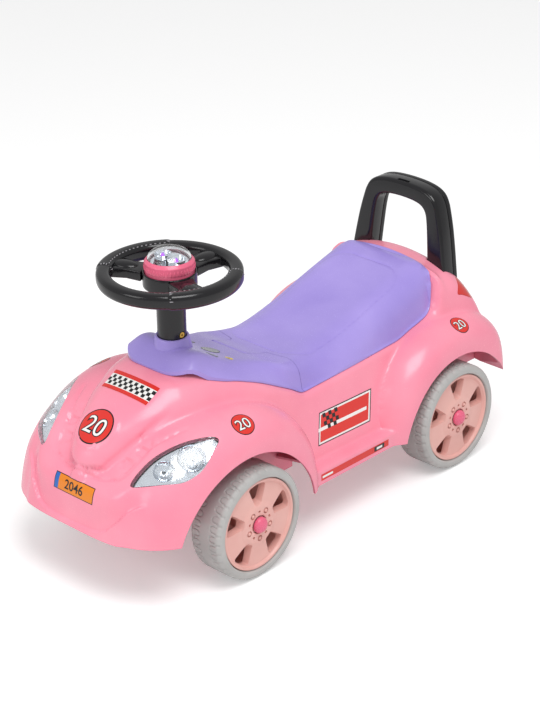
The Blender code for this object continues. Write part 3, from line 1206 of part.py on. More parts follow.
def build():
    clear_scene()
    model = Model()
    body_shell(model)
    wall = cover_wall()
    dash_cover(model, wall)
    seat_lid(model, wall)
    hinge_pin(model)
    storage_bin(model)
    handle(model)
    lamp_pieces(model)
    underbody_tray(model)
    steering_beam(model)
    steering_rod(model)
    steering_wheel(model)
    column_bolt(model)
    button_unit(model)
    axles(model)
    screws(model)
    return model


if __name__ == "__main__":
    build()
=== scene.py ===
import math

import bmesh
import bpy
import numpy as np
from mathutils import Matrix, Vector


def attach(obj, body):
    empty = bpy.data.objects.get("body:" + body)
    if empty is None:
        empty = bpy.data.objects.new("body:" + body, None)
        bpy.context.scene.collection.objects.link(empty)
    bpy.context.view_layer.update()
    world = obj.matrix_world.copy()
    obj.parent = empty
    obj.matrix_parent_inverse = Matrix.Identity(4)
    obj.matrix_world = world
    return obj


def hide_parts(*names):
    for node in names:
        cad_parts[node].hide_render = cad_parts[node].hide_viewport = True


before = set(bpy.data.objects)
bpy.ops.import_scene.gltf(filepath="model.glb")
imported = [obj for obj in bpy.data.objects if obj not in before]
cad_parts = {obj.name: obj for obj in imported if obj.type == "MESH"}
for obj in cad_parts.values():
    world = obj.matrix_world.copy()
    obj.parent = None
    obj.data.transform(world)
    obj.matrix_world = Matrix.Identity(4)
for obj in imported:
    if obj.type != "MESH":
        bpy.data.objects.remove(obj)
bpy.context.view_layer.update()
mm = 0.001
columnY = -143


def shifted(x, y, z):
    return Matrix.Translation(Vector((x, y, z)) * mm)


def turned(degrees):
    return Matrix.Rotation(math.radians(degrees), 4, "Z")


placeBack = shifted(0, 2.3, 0)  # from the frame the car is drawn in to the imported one


# Colours, nodes and finishes

def linear(hexColour):
    values = [int(hexColour[i:i + 2], 16) / 255 for i in (0, 2, 4)]
    return (*[v / 12.92 if v <= 0.04045 else ((v + 0.055) / 1.055) ** 2.4 for v in values], 1.0)


def addNode(tree, kind, links=None, **settings):
    node = tree.nodes.new(kind)
    for name, value in settings.items():
        setattr(node, name, value)
    for key, value in (links or {}).items():
        if isinstance(value, bpy.types.NodeSocket):
            tree.links.new(value, node.inputs[key])
        else:
            node.inputs[key].default_value = value
    return node


def finish(name, shades, roughness, grain, relief, patch=70, edge=0.0, **sockets):
    # shades: the lighter and darker sRGB colour; roughness: its low and high; grain, relief, patch and edge in mm
    made = bpy.data.materials.new(name)
    made.use_nodes = True
    tree = made.node_tree
    shader = tree.nodes["Principled BSDF"]
    place = addNode(tree, "ShaderNodeTexCoord").outputs["Object"]
    cloud = addNode(tree, "ShaderNodeTexNoise", {"Vector": place, "Scale": 1 / (patch * mm), "Detail": 3.0})
    skin = addNode(tree, "ShaderNodeTexNoise", {"Vector": place, "Scale": 1 / (grain * mm), "Detail": 2.0})
    soft = addNode(tree, "ShaderNodeMapRange", {"Value": cloud.outputs[0], "From Min": 0.3, "From Max": 0.7})
    tone = addNode(tree, "ShaderNodeMix", {0: soft.outputs[0], 6: linear(shades[0]), 7: linear(shades[1])},
                   data_type="RGBA")
    matt = addNode(tree, "ShaderNodeMapRange", {"Value": skin.outputs[0], "From Min": 0.3, "From Max": 0.7,
                                                "To Min": roughness[0], "To Max": roughness[1]})
    tree.links.new(tone.outputs[2], shader.inputs["Base Color"])
    tree.links.new(matt.outputs[0], shader.inputs["Roughness"])
    bump = addNode(tree, "ShaderNodeBump", {"Height": skin.outputs[0], "Strength": 0.35, "Distance": relief * mm})
    if edge:
        round_ = addNode(tree, "ShaderNodeBevel", {"Radius": edge * mm}, samples=4)
        tree.links.new(round_.outputs[0], bump.inputs["Normal"])
    tree.links.new(bump.outputs[0], shader.inputs["Normal"])
    for socket, value in sockets.items():
        shader.inputs[socket.replace("_", " ")].default_value = value
    return made


finishes = {
    # injection moulded polypropylene: a satin gloss with very faint flow clouds and a fine eggshell skin
    "pink": finish("mouldedPinkPolypropylene", ("FF9DB2", "FB90A8"), (0.2, 0.28), 1.6, 0.04, edge=0.6),
    "lilac": finish("mouldedLilacPolypropylene", ("AE9CE6", "A08EDC"), (0.2, 0.28), 1.6, 0.04, edge=0.6),
    # black polypropylene polished in the mould: dark, glossy, with a slight orange peel
    "black": finish("polishedBlackPolypropylene", ("141317", "0E0D10"), (0.14, 0.22), 3.0, 0.05, edge=0.7),
    # blow moulded grey polyethylene: matt with a coarser sandy skin
    "tyre_grey": finish("blownGreyPolyethylene", ("BEBDBB", "B1B0AE"), (0.42, 0.56), 1.2, 0.14, patch=30),
    "rim": finish("mouldedPalePinkPolypropylene", ("F1BDB4", "E8ADA4"), (0.28, 0.4), 1.4, 0.05, edge=0.7),
    "cap": finish("mouldedRosePolypropylene", ("F0708F", "E66283"), (0.22, 0.32), 1.4, 0.04, edge=0.5),
    # polystyrene moulded clear: glassy, with very slight ripples
    "clear": finish("clearPolystyrene", ("F6F8FA", "F2F5F8"), (0.02, 0.05), 6.0, 0.03,
                    Transmission_Weight=1.0, IOR=1.5),
    # vacuum metallised plastic: a bright mirror, slightly wavy from the moulding below it
    "metallised": finish("metallisedPlastic", ("DDE0E4", "D2D5DA"), (0.07, 0.14), 5.0, 0.05, Metallic=1.0),
    "red": finish("redAcrylic", ("DB2A22", "CE221B"), (0.08, 0.14), 4.0, 0.05, Coat_Weight=0.5),
    # zinc plated steel: a soft grey metal with a fine grain
    "steel": finish("zincPlatedSteel", ("B4B7BB", "A3A6AA"), (0.24, 0.38), 0.8, 0.03, patch=12, Metallic=1.0),
    "brass": finish("passivatedBrass", ("C39C4E", "B18A3E"), (0.2, 0.34), 0.8, 0.03, patch=8, Metallic=1.0),
    "board": finish("greenSolderMask", ("2F7042", "27633A"), (0.3, 0.42), 0.9, 0.04, patch=10),
    # painted highlight: the stitches through the grip are glossy black, and this grey stands in for the highlights on
    # them
    "paintedStitchHighlight": finish("greyPaintedStitchHighlight", ("A4A2A6", "8A888D"), (0.3, 0.45), 0.6, 0.08, patch=5),
    # underbody moulding: unpolished black polypropylene, greyer and rougher than the parts that are seen
    "under": finish("sparkedBlackPolypropylene", ("232326", "1B1B1E"), (0.42, 0.58), 1.0, 0.12, edge=0.5),
    "glow": finish("purpleLedEpoxy", ("C46BF0", "B552E6"), (0.08, 0.14), 2.0, 0.02,
                   Emission_Color=linear("B040FF"), Emission_Strength=0.6),
}

# printed and laminated vinyl: flat ink under a glossy film with a faint orange peel
inks = {name: finish("printedVinyl" + name.title(), shades, (0.18, 0.27), 2.2, 0.02)
        for name, shades in {"red": ("E2352D", "DB2E26"), "white": ("F7F6F3", "F2F1EE"),
                             "black": ("19191B", "141416"), "orange": ("F08C22", "EA841C"),
                             "blue": ("2F6FC4", "2A67BA"), "yellow": ("F3D24A", "EECB40"),
                             "grey": ("9A9CA3", "92949B")}.items()}
print("finishes ready")


# Meshes

def linked(name, data):
    made = bpy.data.objects.new(name, data)
    bpy.context.scene.collection.objects.link(made)
    return made


def evaluated(holder, *others):
    # the holder's mesh with its modifiers; the objects are removed
    bpy.context.view_layer.update()
    graph = bpy.context.evaluated_depsgraph_get()
    mesh = bpy.data.meshes.new_from_object(holder.evaluated_get(graph), depsgraph=graph)
    for piece in (holder, *others):
        bpy.data.objects.remove(piece, do_unlink=True)
    return mesh


def opened(mesh):
    edit = bmesh.new()
    edit.from_mesh(mesh)
    return edit


def meshFrom(points, faces, name="shape"):
    mesh = bpy.data.meshes.new(name)
    mesh.from_pydata([tuple(p) for p in points], [], [tuple(f) for f in faces])
    return mesh


def closed(edit):
    mesh = bpy.data.meshes.new("shape")
    edit.to_mesh(mesh)
    edit.free()
    return mesh


def tidied(edit):
    bmesh.ops.recalc_face_normals(edit, faces=edit.faces)
    return closed(edit)


def joined(*meshes):
    edit = bmesh.new()
    for mesh in meshes:
        edit.from_mesh(mesh)
    return tidied(edit)


def moved(mesh, matrix):
    mesh.transform(matrix)
    return mesh


def mirrored(mesh):
    edit = opened(mesh)
    bmesh.ops.scale(edit, vec=(-1, 1, 1), verts=edit.verts)
    return tidied(edit)


def pair(mesh):
    return joined(mesh, mirrored(mesh))


def box(low, high):
    edit = bmesh.new()
    bmesh.ops.create_cube(edit, size=1)
    low, high = Vector(low) * mm, Vector(high) * mm
    for vert in edit.verts:
        vert.co = Vector([low[i] + (high[i] - low[i]) * (vert.co[i] + 0.5) for i in range(3)])
    return tidied(edit)


def rod(start, end, radius, endRadius=None, steps=40):
    start, end = Vector(start) * mm, Vector(end) * mm
    edit = bmesh.new()
    way = end - start
    turn = Vector((0, 0, 1)).rotation_difference(way).to_matrix().to_4x4()
    bmesh.ops.create_cone(edit, cap_ends=True, segments=steps, radius1=radius * mm,
                          radius2=(radius if endRadius is None else endRadius) * mm, depth=way.length,
                          matrix=Matrix.Translation((start + end) / 2) @ turn)
    return tidied(edit)


def ball(place, radius, rings=24):
    edit = bmesh.new()
    bmesh.ops.create_uvsphere(edit, u_segments=rings * 2, v_segments=rings, radius=radius * mm, matrix=place)
    return tidied(edit)


def prism(outline, axis, low, high):
    # outline in mm, drawn out along one axis
    edit = bmesh.new()
    rings = [[edit.verts.new(corner) for corner in np.insert(np.array(outline, float), axis, level, axis=1) * mm]
             for level in (low, high)]
    for i in range(len(outline)):
        j = (i + 1) % len(outline)
        edit.faces.new((rings[0][i], rings[0][j], rings[1][j], rings[1][i]))
    edit.faces.new(rings[0])
    edit.faces.new(rings[1])
    return tidied(edit)


def lathe(profile, steps=96):
    # a closed profile of (radius, height) in mm turned about Z; it may start and end on the axis
    edit = bmesh.new()
    rings = []
    for radius, height in profile:
        if radius < 1e-6:
            rings.append([edit.verts.new((0, 0, height * mm))] * steps)
            continue
        rings.append([edit.verts.new((radius * mm * math.cos(math.tau * i / steps),
                                      radius * mm * math.sin(math.tau * i / steps), height * mm))
                      for i in range(steps)])
    onAxis = profile[0][0] < 1e-6
    pairs = list(zip(rings, rings[1:])) + ([] if onAxis else [(rings[-1], rings[0])])
    for near, far in pairs:
        for i in range(steps):
            j = (i + 1) % steps
            corners = []
            for vert in (near[i], near[j], far[j], far[i]):
                if vert not in corners:
                    corners.append(vert)
            if len(corners) > 2:
                edit.faces.new(corners)
    return tidied(edit)


def torus(radius, turn, height):
    # a closed skin from a grid of radii and heights in mm; each row is one turn about Z
    points = np.stack([radius * np.cos(turn), radius * np.sin(turn), height + 0 * radius], -1) * mm
    index = np.arange(radius.size).reshape(radius.shape)
    nextRow = np.roll(index, -1, 0)
    quads = np.stack([index, np.roll(index, -1, 1), np.roll(nextRow, -1, 1), nextRow], -1).reshape(-1, 4)
    return tidied(opened(meshFrom(points.reshape(-1, 3), quads.tolist())))


def softProfile(points, radius=0.8, steps=3):
    # rounds each corner of a closed profile that lies off the axis
    result = []
    count = len(points)
    for i, corner in enumerate(points):
        here = Vector(corner)
        if corner[0] < 1e-6:
            result.append(corner)
            continue
        before, after = Vector(points[i - 1]), Vector(points[(i + 1) % count])
        reach = min(radius, (before - here).length * 0.45, (after - here).length * 0.45)
        start, end = here + (before - here).normalized() * reach, here + (after - here).normalized() * reach
        for k in range(steps + 1):
            t = k / steps
            result.append(tuple(start * (1 - t) ** 2 + here * 2 * t * (1 - t) + end * t * t))
    return result


def arc(centre, radius, start, end, steps):
    turn = [math.radians(start + (end - start) * i / steps) for i in range(steps + 1)]
    return [(centre[0] + radius * math.cos(t), centre[1] + radius * math.sin(t)) for t in turn]


def smoothPath(points, steps):
    # an open line: its ends carry on straight
    first, last = 2 * np.array(points[0]) - points[1], 2 * np.array(points[-1]) - points[-2]
    line = smoothLoop([first, *points, last], steps)
    return line[steps:steps * len(points) + 1]


def smoothLoop(points, steps=8):
    loop, count = [], len(points)
    for i in range(count):
        p0, p1, p2, p3 = (np.array(points[(i + j - 1) % count], float) for j in range(4))
        for k in range(steps):
            t = k / steps
            bend = 2 * p1 + (p2 - p0) * t + (2 * p0 - 5 * p1 + 4 * p2 - p3) * t**2
            loop.append(tuple((bend + (3 * p1 - p0 - 3 * p2 + p3) * t**3) / 2))
    return loop


def combined(mesh, operation, shape, solver="MANIFOLD"):
    first, second = linked("first", mesh), linked("second", shape)
    modifier = first.modifiers.new("Combine", "BOOLEAN")
    modifier.operation, modifier.solver, modifier.object = operation, solver, second
    result = evaluated(first, second)
    if not result.polygons and solver == "MANIFOLD":
        print("the manifold solver gave nothing, so the exact one is used")
        return combined(mesh, operation, shape, "EXACT")
    return result


def cut(mesh, *tools):
    for tool in tools:
        mesh = combined(mesh, "DIFFERENCE", tool)
    return mesh


def fused(mesh, *others):
    for other in others:
        mesh = combined(mesh, "UNION", other)
    return mesh


def addPiece(name, mesh, body, slotName, nodes=(), material=None, sharp=32):
    # the mesh is in the frame the car is drawn in; sharp is the angle over which an edge stays sharp
    mesh.transform(placeBack)
    mesh.name = name
    mesh.materials.clear()
    mesh.materials.append(material or finishes[slotName])
    mesh.shade_smooth()
    mesh.set_sharp_from_angle(angle=math.radians(sharp))
    piece = linked(name, mesh)
    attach(piece, body)
    if nodes:
        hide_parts(*nodes)


def addPair(name, mesh, slotName, node=None, number="", sharp=32):
    # a piece of the body and its mirror image
    for side, half in (("left", mesh), ("right", mirrored(mesh))):
        addPiece(name + side.title() + number, half, "body", slotName, [f"{node}_{side}"] if node else (), sharp=sharp)


# The body's and covers' shapes as fields, in metres, negative inside

shape = {
    "halfWidth": 139.5, "nose": -313, "tail": 309, "wall": 2.6, "frontEdge": 81, "sillEdge": 65, "rearEdge": 97,
    "sillHalf": 128, "sillTop": 84, "frontAxle": -151, "rearAxle": 204, "axleHeight": 67.5,
    "arches": (((-160, 46.5), 108), ((211.5, 46.5), 101)), "archInner": 89, "coverWall": 2.5, "seatRear": 231.5,
    # thin upright walls inside the shell, on the inner side of the front and the rear wheel
    "liners": (((69, -275, 60), (71.5, -22, 250)), ((86, 106, 60), (88.5, 300, 250))),
    "noseBow": 57, "tailBow": 5, "sillMiddle": 26.5, "sillReach": 110,
    "frontFender": {"centre": (-151, 67.5), "reach": (158, 122), "height": 129, "power": (2.2, 2.2)},
    "rearFender": {"centre": (211, 70), "reach": (122, 112), "height": 116, "power": (2.0, 2.8)},
    "rearCrown": 97, "rearFall": 32, "trayScrews": ((45, -205), (62, 190)), "screwBoss": 5.5, "screwHole": 2.1,
    # the raised panel of the nose: its top rises towards the rear, and is a step higher behind its front edge
    "grille": {"level": 137, "slope": 0.36, "front": -291, "step": 5, "stepFront": -284, "rear": -215, "half": 80},
    "coverNose": {"front": -165, "top": 246, "lean": 1.5, "sweep": 30, "half": 70}, "coverFront": -196,
    "noseWall": 5.5, "noseWallFrom": -190, "well": ((-58.3, 25.7, 120), (58.3, 136.3, 200)), "columnBore": 5.5,
    "top": [(-292, 158), (-283, 170), (-265, 187), (-244, 200), (-215, 216), (-183, 231), (-150, 234), (-120, 226),
            (-96, 213), (-61, 192), (-35, 177), (-11, 164), (6, 165), (16, 165.7), (168, 176.3), (176, 177),
            (192, 185), (215, 200), (232, 245), (250, 244), (268, 235), (284, 218), (296, 196), (303, 172), (310, 140)],
    "half": [(-292, 8), (-286, 18), (-276, 28), (-262, 36), (-241, 45), (-218, 57), (-190, 67), (-159, 74), (-133, 80),
             (-102, 86), (-71, 88), (-30, 88), (60, 90), (180, 90), (230, 92), (262, 93), (310, 88)],
    "crown": [(-292, 3), (-200, 10), (-143, 14), (-60, 4), (0, 1), (180, 1), (222, 8), (240, 22), (310, 20)],
    "shoulder": [(-292, 150), (-215, 195), (-143, 205), (-60, 182), (0, 162), (150, 172), (232, 215), (310, 215)],
    "rounding": [(-292, 14), (-241, 18), (-190, 30), (-143, 30), (-60, 10), (0, 7), (200, 7), (235, 14), (310, 18)],
    "fenderCrown": [(-300, 62), (-240, 68), (-200, 76), (-151, 85), (-100, 91), (-40, 96)],
    "fenderFall": [(-300, 75), (-240, 68), (-200, 56), (-151, 43), (-100, 36), (-40, 34)],
    "coverTop": [(-190, 249), (-158, 250.5), (-142, 248), (-120, 236.5), (-100, 226), (-56, 211.5), (-22, 200.5),
                 (0, 198), (20, 198), (50, 201), (90, 209), (140, 224), (190, 238), (215, 244.5), (235, 248)],
    "coverHalf": [(-190, 44), (-148, 43), (-120, 46), (-100, 49.5), (-56, 60), (-30, 71), (-12, 72), (20, 67),
                  (60, 68), (120, 71), (200, 72), (235, 70)],
    "coverLean": [(-190, 800), (-148, 790), (-120, 1100), (-95, 1350), (-62, 950), (-30, 300), (-12, 200),
                  (20, 480), (60, 560), (120, 300), (190, 240), (235, 200)],
    "coverRounding": [(-190, 6), (-112, 5), (-56, 6), (-30, 10), (-12, 18), (20, 26), (60, 30), (200, 30), (235, 24)],
    "coverPlan": [(14, -184), (30, -180.5), (44, -172), (55.5, -157), (64.5, -138), (71.5, -115), (76, -88), (79, -60),
                  (81, -30), (83, 5), (85, 60), (86, 120), (87, 165), (87.5, 190), (86, 207), (80.5, 220), (70, 228),
                  (54, 231.3), (30, 231.5)],
}


def smoothMax(a, b, radius):
    h = np.clip(0.5 + 0.5 * (a - b) / radius, 0.0, 1.0)
    return b + (a - b) * h + radius * h * (1.0 - h)


def smoothMin(a, b, radius):
    return -smoothMax(-a, -b, radius)


def along(stations, y):
    points = np.array(stations, float) * mm
    at, value = points[:, 0], points[:, 1]
    step = np.diff(at)
    slope = np.diff(value) / step
    sameWay = slope[:-1] * slope[1:] > 0
    w1, w2 = 2 * step[1:] + step[:-1], step[1:] + 2 * step[:-1]
    safe = np.where(sameWay, slope[:-1], 1.0), np.where(sameWay, slope[1:], 1.0)
    inner = np.where(sameWay, (w1 + w2) / (w1 / safe[0] + w2 / safe[1]), 0.0)
    tangent = np.concatenate([slope[:1], inner, slope[-1:]])
    y = np.clip(y, at[0], at[-1])
    i = np.clip(np.searchsorted(at, y, side="right") - 1, 0, len(at) - 2)
    t = (y - at[i]) / step[i]
    rise = (1 + 2 * t) * (1 - t) ** 2 * value[i] + t * (1 - t) ** 2 * step[i] * tangent[i]
    return rise + t * t * (3 - 2 * t) * value[i + 1] + t * t * (t - 1) * step[i] * tangent[i + 1]


def fender(x, y, z, sizes, crownX, fall):
    # a superellipse seen from the side, with its own reach and power before and behind the centre; it falls outwards
    middle, foot, height = sizes["centre"][0] * mm, sizes["centre"][1] * mm, sizes["height"] * mm
    before = y < middle
    length, p = np.where(before, *sizes["reach"]) * mm, np.where(before, *sizes["power"])
    radial = ((np.abs(y - middle) / length) ** p + (np.maximum(z - foot, 0) / height) ** p) ** (1 / p)
    out = np.clip((x - crownX) / (shape["halfWidth"] * mm - crownX), 0, None)
    drop = np.where(out < 1, 1 - np.sqrt(np.maximum(1 - out**2, 0)), 1 + (out - 1) * 6) * fall / height
    return height * (radial - (1 - drop)) * 0.8


def bodyField(x, y, z):
    x = np.abs(x)
    half = along(shape["half"], y)
    side = x - (half + 0.25 * (along(shape["shoulder"], y) - z))
    top = z - (along(shape["top"], y) - along(shape["crown"], y) * (x / np.maximum(half, 20 * mm)) ** 2)
    cabin = smoothMax(side * 0.97, top * 0.9, along(shape["rounding"], y))
    front = fender(x, y, z, shape["frontFender"], along(shape["fenderCrown"], y), along(shape["fenderFall"], y))
    rear = fender(x, y, z, shape["rearFender"], shape["rearCrown"] * mm, shape["rearFall"] * mm)
    s = shape["grille"]
    height = s["level"] * mm + s["slope"] * (y - s["front"] * mm)
    step = smoothMax(z - height - s["step"] * mm, s["stepFront"] * mm + 0.5 * x - y, 2 * mm)
    grille = smoothMin(z - height, step, 2 * mm) * 0.9
    grille = smoothMax(smoothMax(grille, y - s["rear"] * mm, 10 * mm), x - s["half"] * mm, 20 * mm)
    skin = smoothMin(cabin, smoothMin(front, grille, 8 * mm), 4 * mm)
    skin = smoothMin(skin, rear, 3.5 * mm)
    sill = smoothMax(x - shape["sillHalf"] * mm, z - shape["sillTop"] * mm, 4 * mm)
    sill = smoothMax(sill, np.abs(y - shape["sillMiddle"] * mm) - shape["sillReach"] * mm, 5 * mm)
    skin = smoothMin(skin, sill, 4 * mm)
    rise = np.maximum(z - shape["frontEdge"] * mm, -50 * mm)
    bow = np.minimum(x / (shape["halfWidth"] * mm), 1.3) ** 4
    ahead = shape["nose"] * mm + shape["noseBow"] * mm * bow + 0.26 * rise - y
    behind = y - (shape["tail"] * mm - shape["tailBow"] * mm * bow - 0.04 * rise)
    beside = x - (shape["halfWidth"] * mm - 0.04 * rise)
    return smoothMax(skin, smoothMax(smoothMax(ahead, beside, 16 * mm), behind, 10 * mm), 8 * mm)


def coverField(x, y, z):
    x = np.abs(x)
    top, lean = along(shape["coverTop"], y), along(shape["coverLean"], y)
    side = (x - (along(shape["coverHalf"], y) + lean * (top - z))) / np.sqrt(1 + lean**2)
    skin = smoothMax(side, z - top, along(shape["coverRounding"], y))
    s = shape["coverNose"]
    swept = s["sweep"] * mm * (x / (s["half"] * mm)) ** 3
    nose = (s["front"] * mm - s["lean"] * (s["top"] * mm - z) + swept - y) * 0.5
    skin = smoothMax(skin, smoothMax(nose, shape["coverFront"] * mm - y, 4 * mm), 6 * mm)
    skin = smoothMax(skin, y - shape["seatRear"] * mm, 12 * mm)
    return smoothMin(skin, bodyField(x, y, z) - 1.4 * mm, 2 * mm)


def fade(value, width):
    # 0 for values below zero, 1 above the width, smooth between
    t = np.clip(value / width, 0, 1)
    return t * t * (3 - 2 * t)


def lineDistance(u, v, points):
    best = np.full(u.shape, 1e3)
    for (u0, v0), (u1, v1) in zip(points, points[1:]):
        du, dv = u1 - u0, v1 - v0
        t = np.clip(((u - u0) * du + (v - v0) * dv) / (du * du + dv * dv), 0, 1)
        best = np.minimum(best, np.hypot(u - u0 - t * du, v - v0 - t * dv))
    return best


def insideDistance(u, v, corners):
    # how far inside a convex outline, listed clockwise
    depth = np.full(u.shape, 1e3)
    for (u0, v0), (u1, v1) in zip(corners, corners[1:] + corners[:1]):
        length = math.hypot(u1 - u0, v1 - v0)
        depth = np.minimum(depth, ((u1 - u0) * (v0 - v) - (v1 - v0) * (u0 - u)) / length)
    return depth


noseLines = {
    # u is across the car and v up the slope of the nose; the bumper's line is x and z, the ring u, v and radius
    "frame": [(0, -106.6), (28, -104.4), (52, -97), (60, -87.5), (66.5, -60), (66, -46), (57, -38.5), (47, -42)],
    "boss": [(0, -101), (11, -99.8), (27, -91.7), (35.5, -74), (41, -60), (46, -43), (55, -12), (62, 6)],
    "brow": [(66.5, -46), (78, -22), (88, 1)],
    "upperVent": [(50, -49), (66, -48), (63, -64), (49, -59)],
    "lowerVent": [(44, -68), (61, -71), (56, -87), (39, -80)],
    "frameSide": [(0, -107), (28, -104.4), (52, -97), (60, -87.5), (66.5, -60), (66, -46), (66, 10)],
    "bumper": [(0, 85.5), (30, 86.5), (45, 88.5), (56, 93), (66, 103), (72, 110), (79, 120), (91, 128.5), (115, 131.5),
               (128, 135), (140, 140)],
    "ring": (0, -54.5, 26),
}


def bodyRelief(points):
    # fine relief of the nose in millimetres, along the skin's own direction; points are metres
    x, y, z = np.abs(points[..., 0]) / mm, points[..., 1] / mm, points[..., 2] / mm
    u, v = x, (y + z) / math.sqrt(2)
    ahead = fade(-200 - y, 12) * fade(z - 128, 4)
    bossEdge, frameEdge = (np.interp(v, *np.array(noseLines[name], float).T[::-1]) for name in ("boss", "frameSide"))
    grille = fade(u - bossEdge, 4) * fade(frameEdge - u, 4) * fade(v + 102, 4) * fade(-40 - v, 5)
    lobe = fade(bossEdge - u, 4) * fade(v + 102, 4) * fade(6 - v, 40)
    relief = -2.6 * grille + 1.3 * lobe
    for name, depth, width in (("frame", 2.0, 2.2), ("boss", 1.2, 2.2), ("brow", 2.0, 2.1)):
        relief -= depth * np.exp(-(lineDistance(u, v, noseLines[name]) / width) ** 2)
    for vent in ("upperVent", "lowerVent"):
        relief -= 2.8 * fade(insideDistance(u, v, noseLines[vent]) + 0.6, 3.2)
    ringU, ringV, ringRadius = noseLines["ring"]
    relief += 1.1 * np.exp(-((np.hypot(u - ringU, v - ringV) - ringRadius) / 1.7) ** 2)
    lip = np.array(noseLines["bumper"], float)
    above = z - np.interp(x, lip[:, 0], lip[:, 1])
    bumper = -3.6 * fade(above + 1.5, 3) * (1 - fade(above - 4, 30)) * fade(-190 - y, 40) * (1 - fade(x - 80, 25))
    return relief * ahead + bumper


def seatRelief(points):
    # the line pressed round the seat's panel
    x, y = np.abs(points[..., 0]) / mm, points[..., 1] / mm
    panel = {"half": 59, "middle": 96, "reach": 104, "corner": 34}
    half, reach = panel["half"] - panel["corner"], panel["reach"] - panel["corner"]
    q = np.stack([x - half, np.abs(y - panel["middle"]) - reach])
    edge = np.hypot(*np.maximum(q, 0)) + np.minimum(np.maximum(q[0], q[1]), 0) - panel["corner"]
    return -1.1 * np.exp(-(edge / 1.1) ** 2)


def gradient(field, points, reach=0.4 * mm):
    parts = []
    for axis in range(3):
        offset = np.zeros(3)
        offset[axis] = reach
        parts.append(field(*np.moveaxis(points + offset, -1, 0)) - field(*np.moveaxis(points - offset, -1, 0)))
    result = np.stack(parts, -1)
    return result / np.linalg.norm(result, axis=-1, keepdims=True)


def narrowed(field, origins, directions, inner, outer):
    # halves the span between a length that ends inside the field and one that ends outside
    for _ in range(18):
        middle = (inner + outer) / 2
        inside = field(*np.moveaxis(origins + directions * middle[..., None], -1, 0)) < 0
        inner, outer = np.where(inside, middle, inner), np.where(inside, outer, middle)
    return inner, outer


def closedSkin(field, stations, fans, columns, baseZ, relief=None, reach=0.36, steps=96):
    # rays leave the middle line at each station and fan out at both ends; each finds where it leaves the field
    turn = np.linspace(0, math.pi / 2, columns + 1)
    rows = [(stations[0], math.radians(tilt), -1) for tilt in fans[0]]
    rows += [(y, math.pi / 2, 0) for y in stations]
    rows += [(stations[-1], math.radians(tilt), 1) for tilt in fans[1][::-1]]
    origins, directions = [], []
    for y, tilt, way in rows:
        across, forward = math.sin(tilt), way * math.cos(tilt)
        origins.append(np.stack([0 * turn, y * mm + 0 * turn, baseZ * mm + 0 * turn], -1))
        directions.append(np.stack([np.cos(turn) * across, forward + 0 * turn, np.sin(turn) * across], -1))
    origins, directions = np.array(origins), np.array(directions)
    lengths = np.linspace(10 * mm, reach, steps)
    last = np.zeros(origins.shape[:2], int)
    for i, length in enumerate(lengths):
        inside = field(*np.moveaxis(origins + directions * length, -1, 0)) < 0
        last[inside] = i
    low, high = narrowed(field, origins, directions, lengths[last], lengths[np.minimum(last + 1, steps - 1)])
    points = origins + directions * ((low + high) / 2)[..., None]
    if relief is not None:
        points = points + gradient(field, points) * (relief(points) * mm)[..., None]
    points[:, -1, 0] = points[0, :, 0] = points[-1, :, 0] = 0
    count = points.shape[1]
    index = np.arange(points.shape[0] * count).reshape(points.shape[:2])
    quads = np.stack([index[:-1, :-1], index[:-1, 1:], index[1:, 1:], index[1:, :-1]], -1).reshape(-1, 4)
    flat = points.reshape(-1, 3)
    both = np.concatenate([flat, flat * (-1, 1, 1)])
    edit = opened(meshFrom(both, np.concatenate([quads, quads[:, ::-1] + len(flat)]).tolist()))
    bmesh.ops.remove_doubles(edit, verts=edit.verts, dist=0.02 * mm)
    bmesh.ops.dissolve_degenerate(edit, edges=edit.edges, dist=0.01 * mm)
    rim = [edge for edge in edit.edges if edge.is_boundary]
    bmesh.ops.contextual_create(edit, geom=rim)
    bmesh.ops.triangulate(edit, faces=[face for face in edit.faces if len(face.verts) > 4])
    return tidied(edit)


bodyGrid = {
    # stations along the car, fan angles at the front and the rear, and columns from side to top
    "fine": ([*np.arange(-276, -180, 2.4), *range(-180, 290, 4), 291],
             (list(np.arange(0, 88.6, 0.8)), list(np.arange(0, 89, 2.5))), 108),
    "coarse": ([*range(-276, 290, 9), 291], (list(range(0, 88, 6)), list(range(0, 88, 8))), 24),
}
coverGrid = {
    "fine": ([*range(-176, -20, 3), *range(-20, 216, 2), 217], (list(range(0, 88, 2)), list(range(0, 88, 2))), 90),
    "coarse": ([*range(-176, 216, 8), 217], (list(range(0, 88, 8)), list(range(0, 88, 8))), 20),
}


def bodySolid(inset, grid="fine", baseZ=60, relief=None, noseWall=0):
    # the nose can be inset further, to leave a thicker wall behind its deep relief
    def field(x, y, z):
        return bodyField(x, y, z) + (inset + noseWall * fade(shape["noseWallFrom"] * mm - y, 30 * mm)) * mm

    return closedSkin(field, *bodyGrid[grid], baseZ, relief)


# Body shell with its cuts

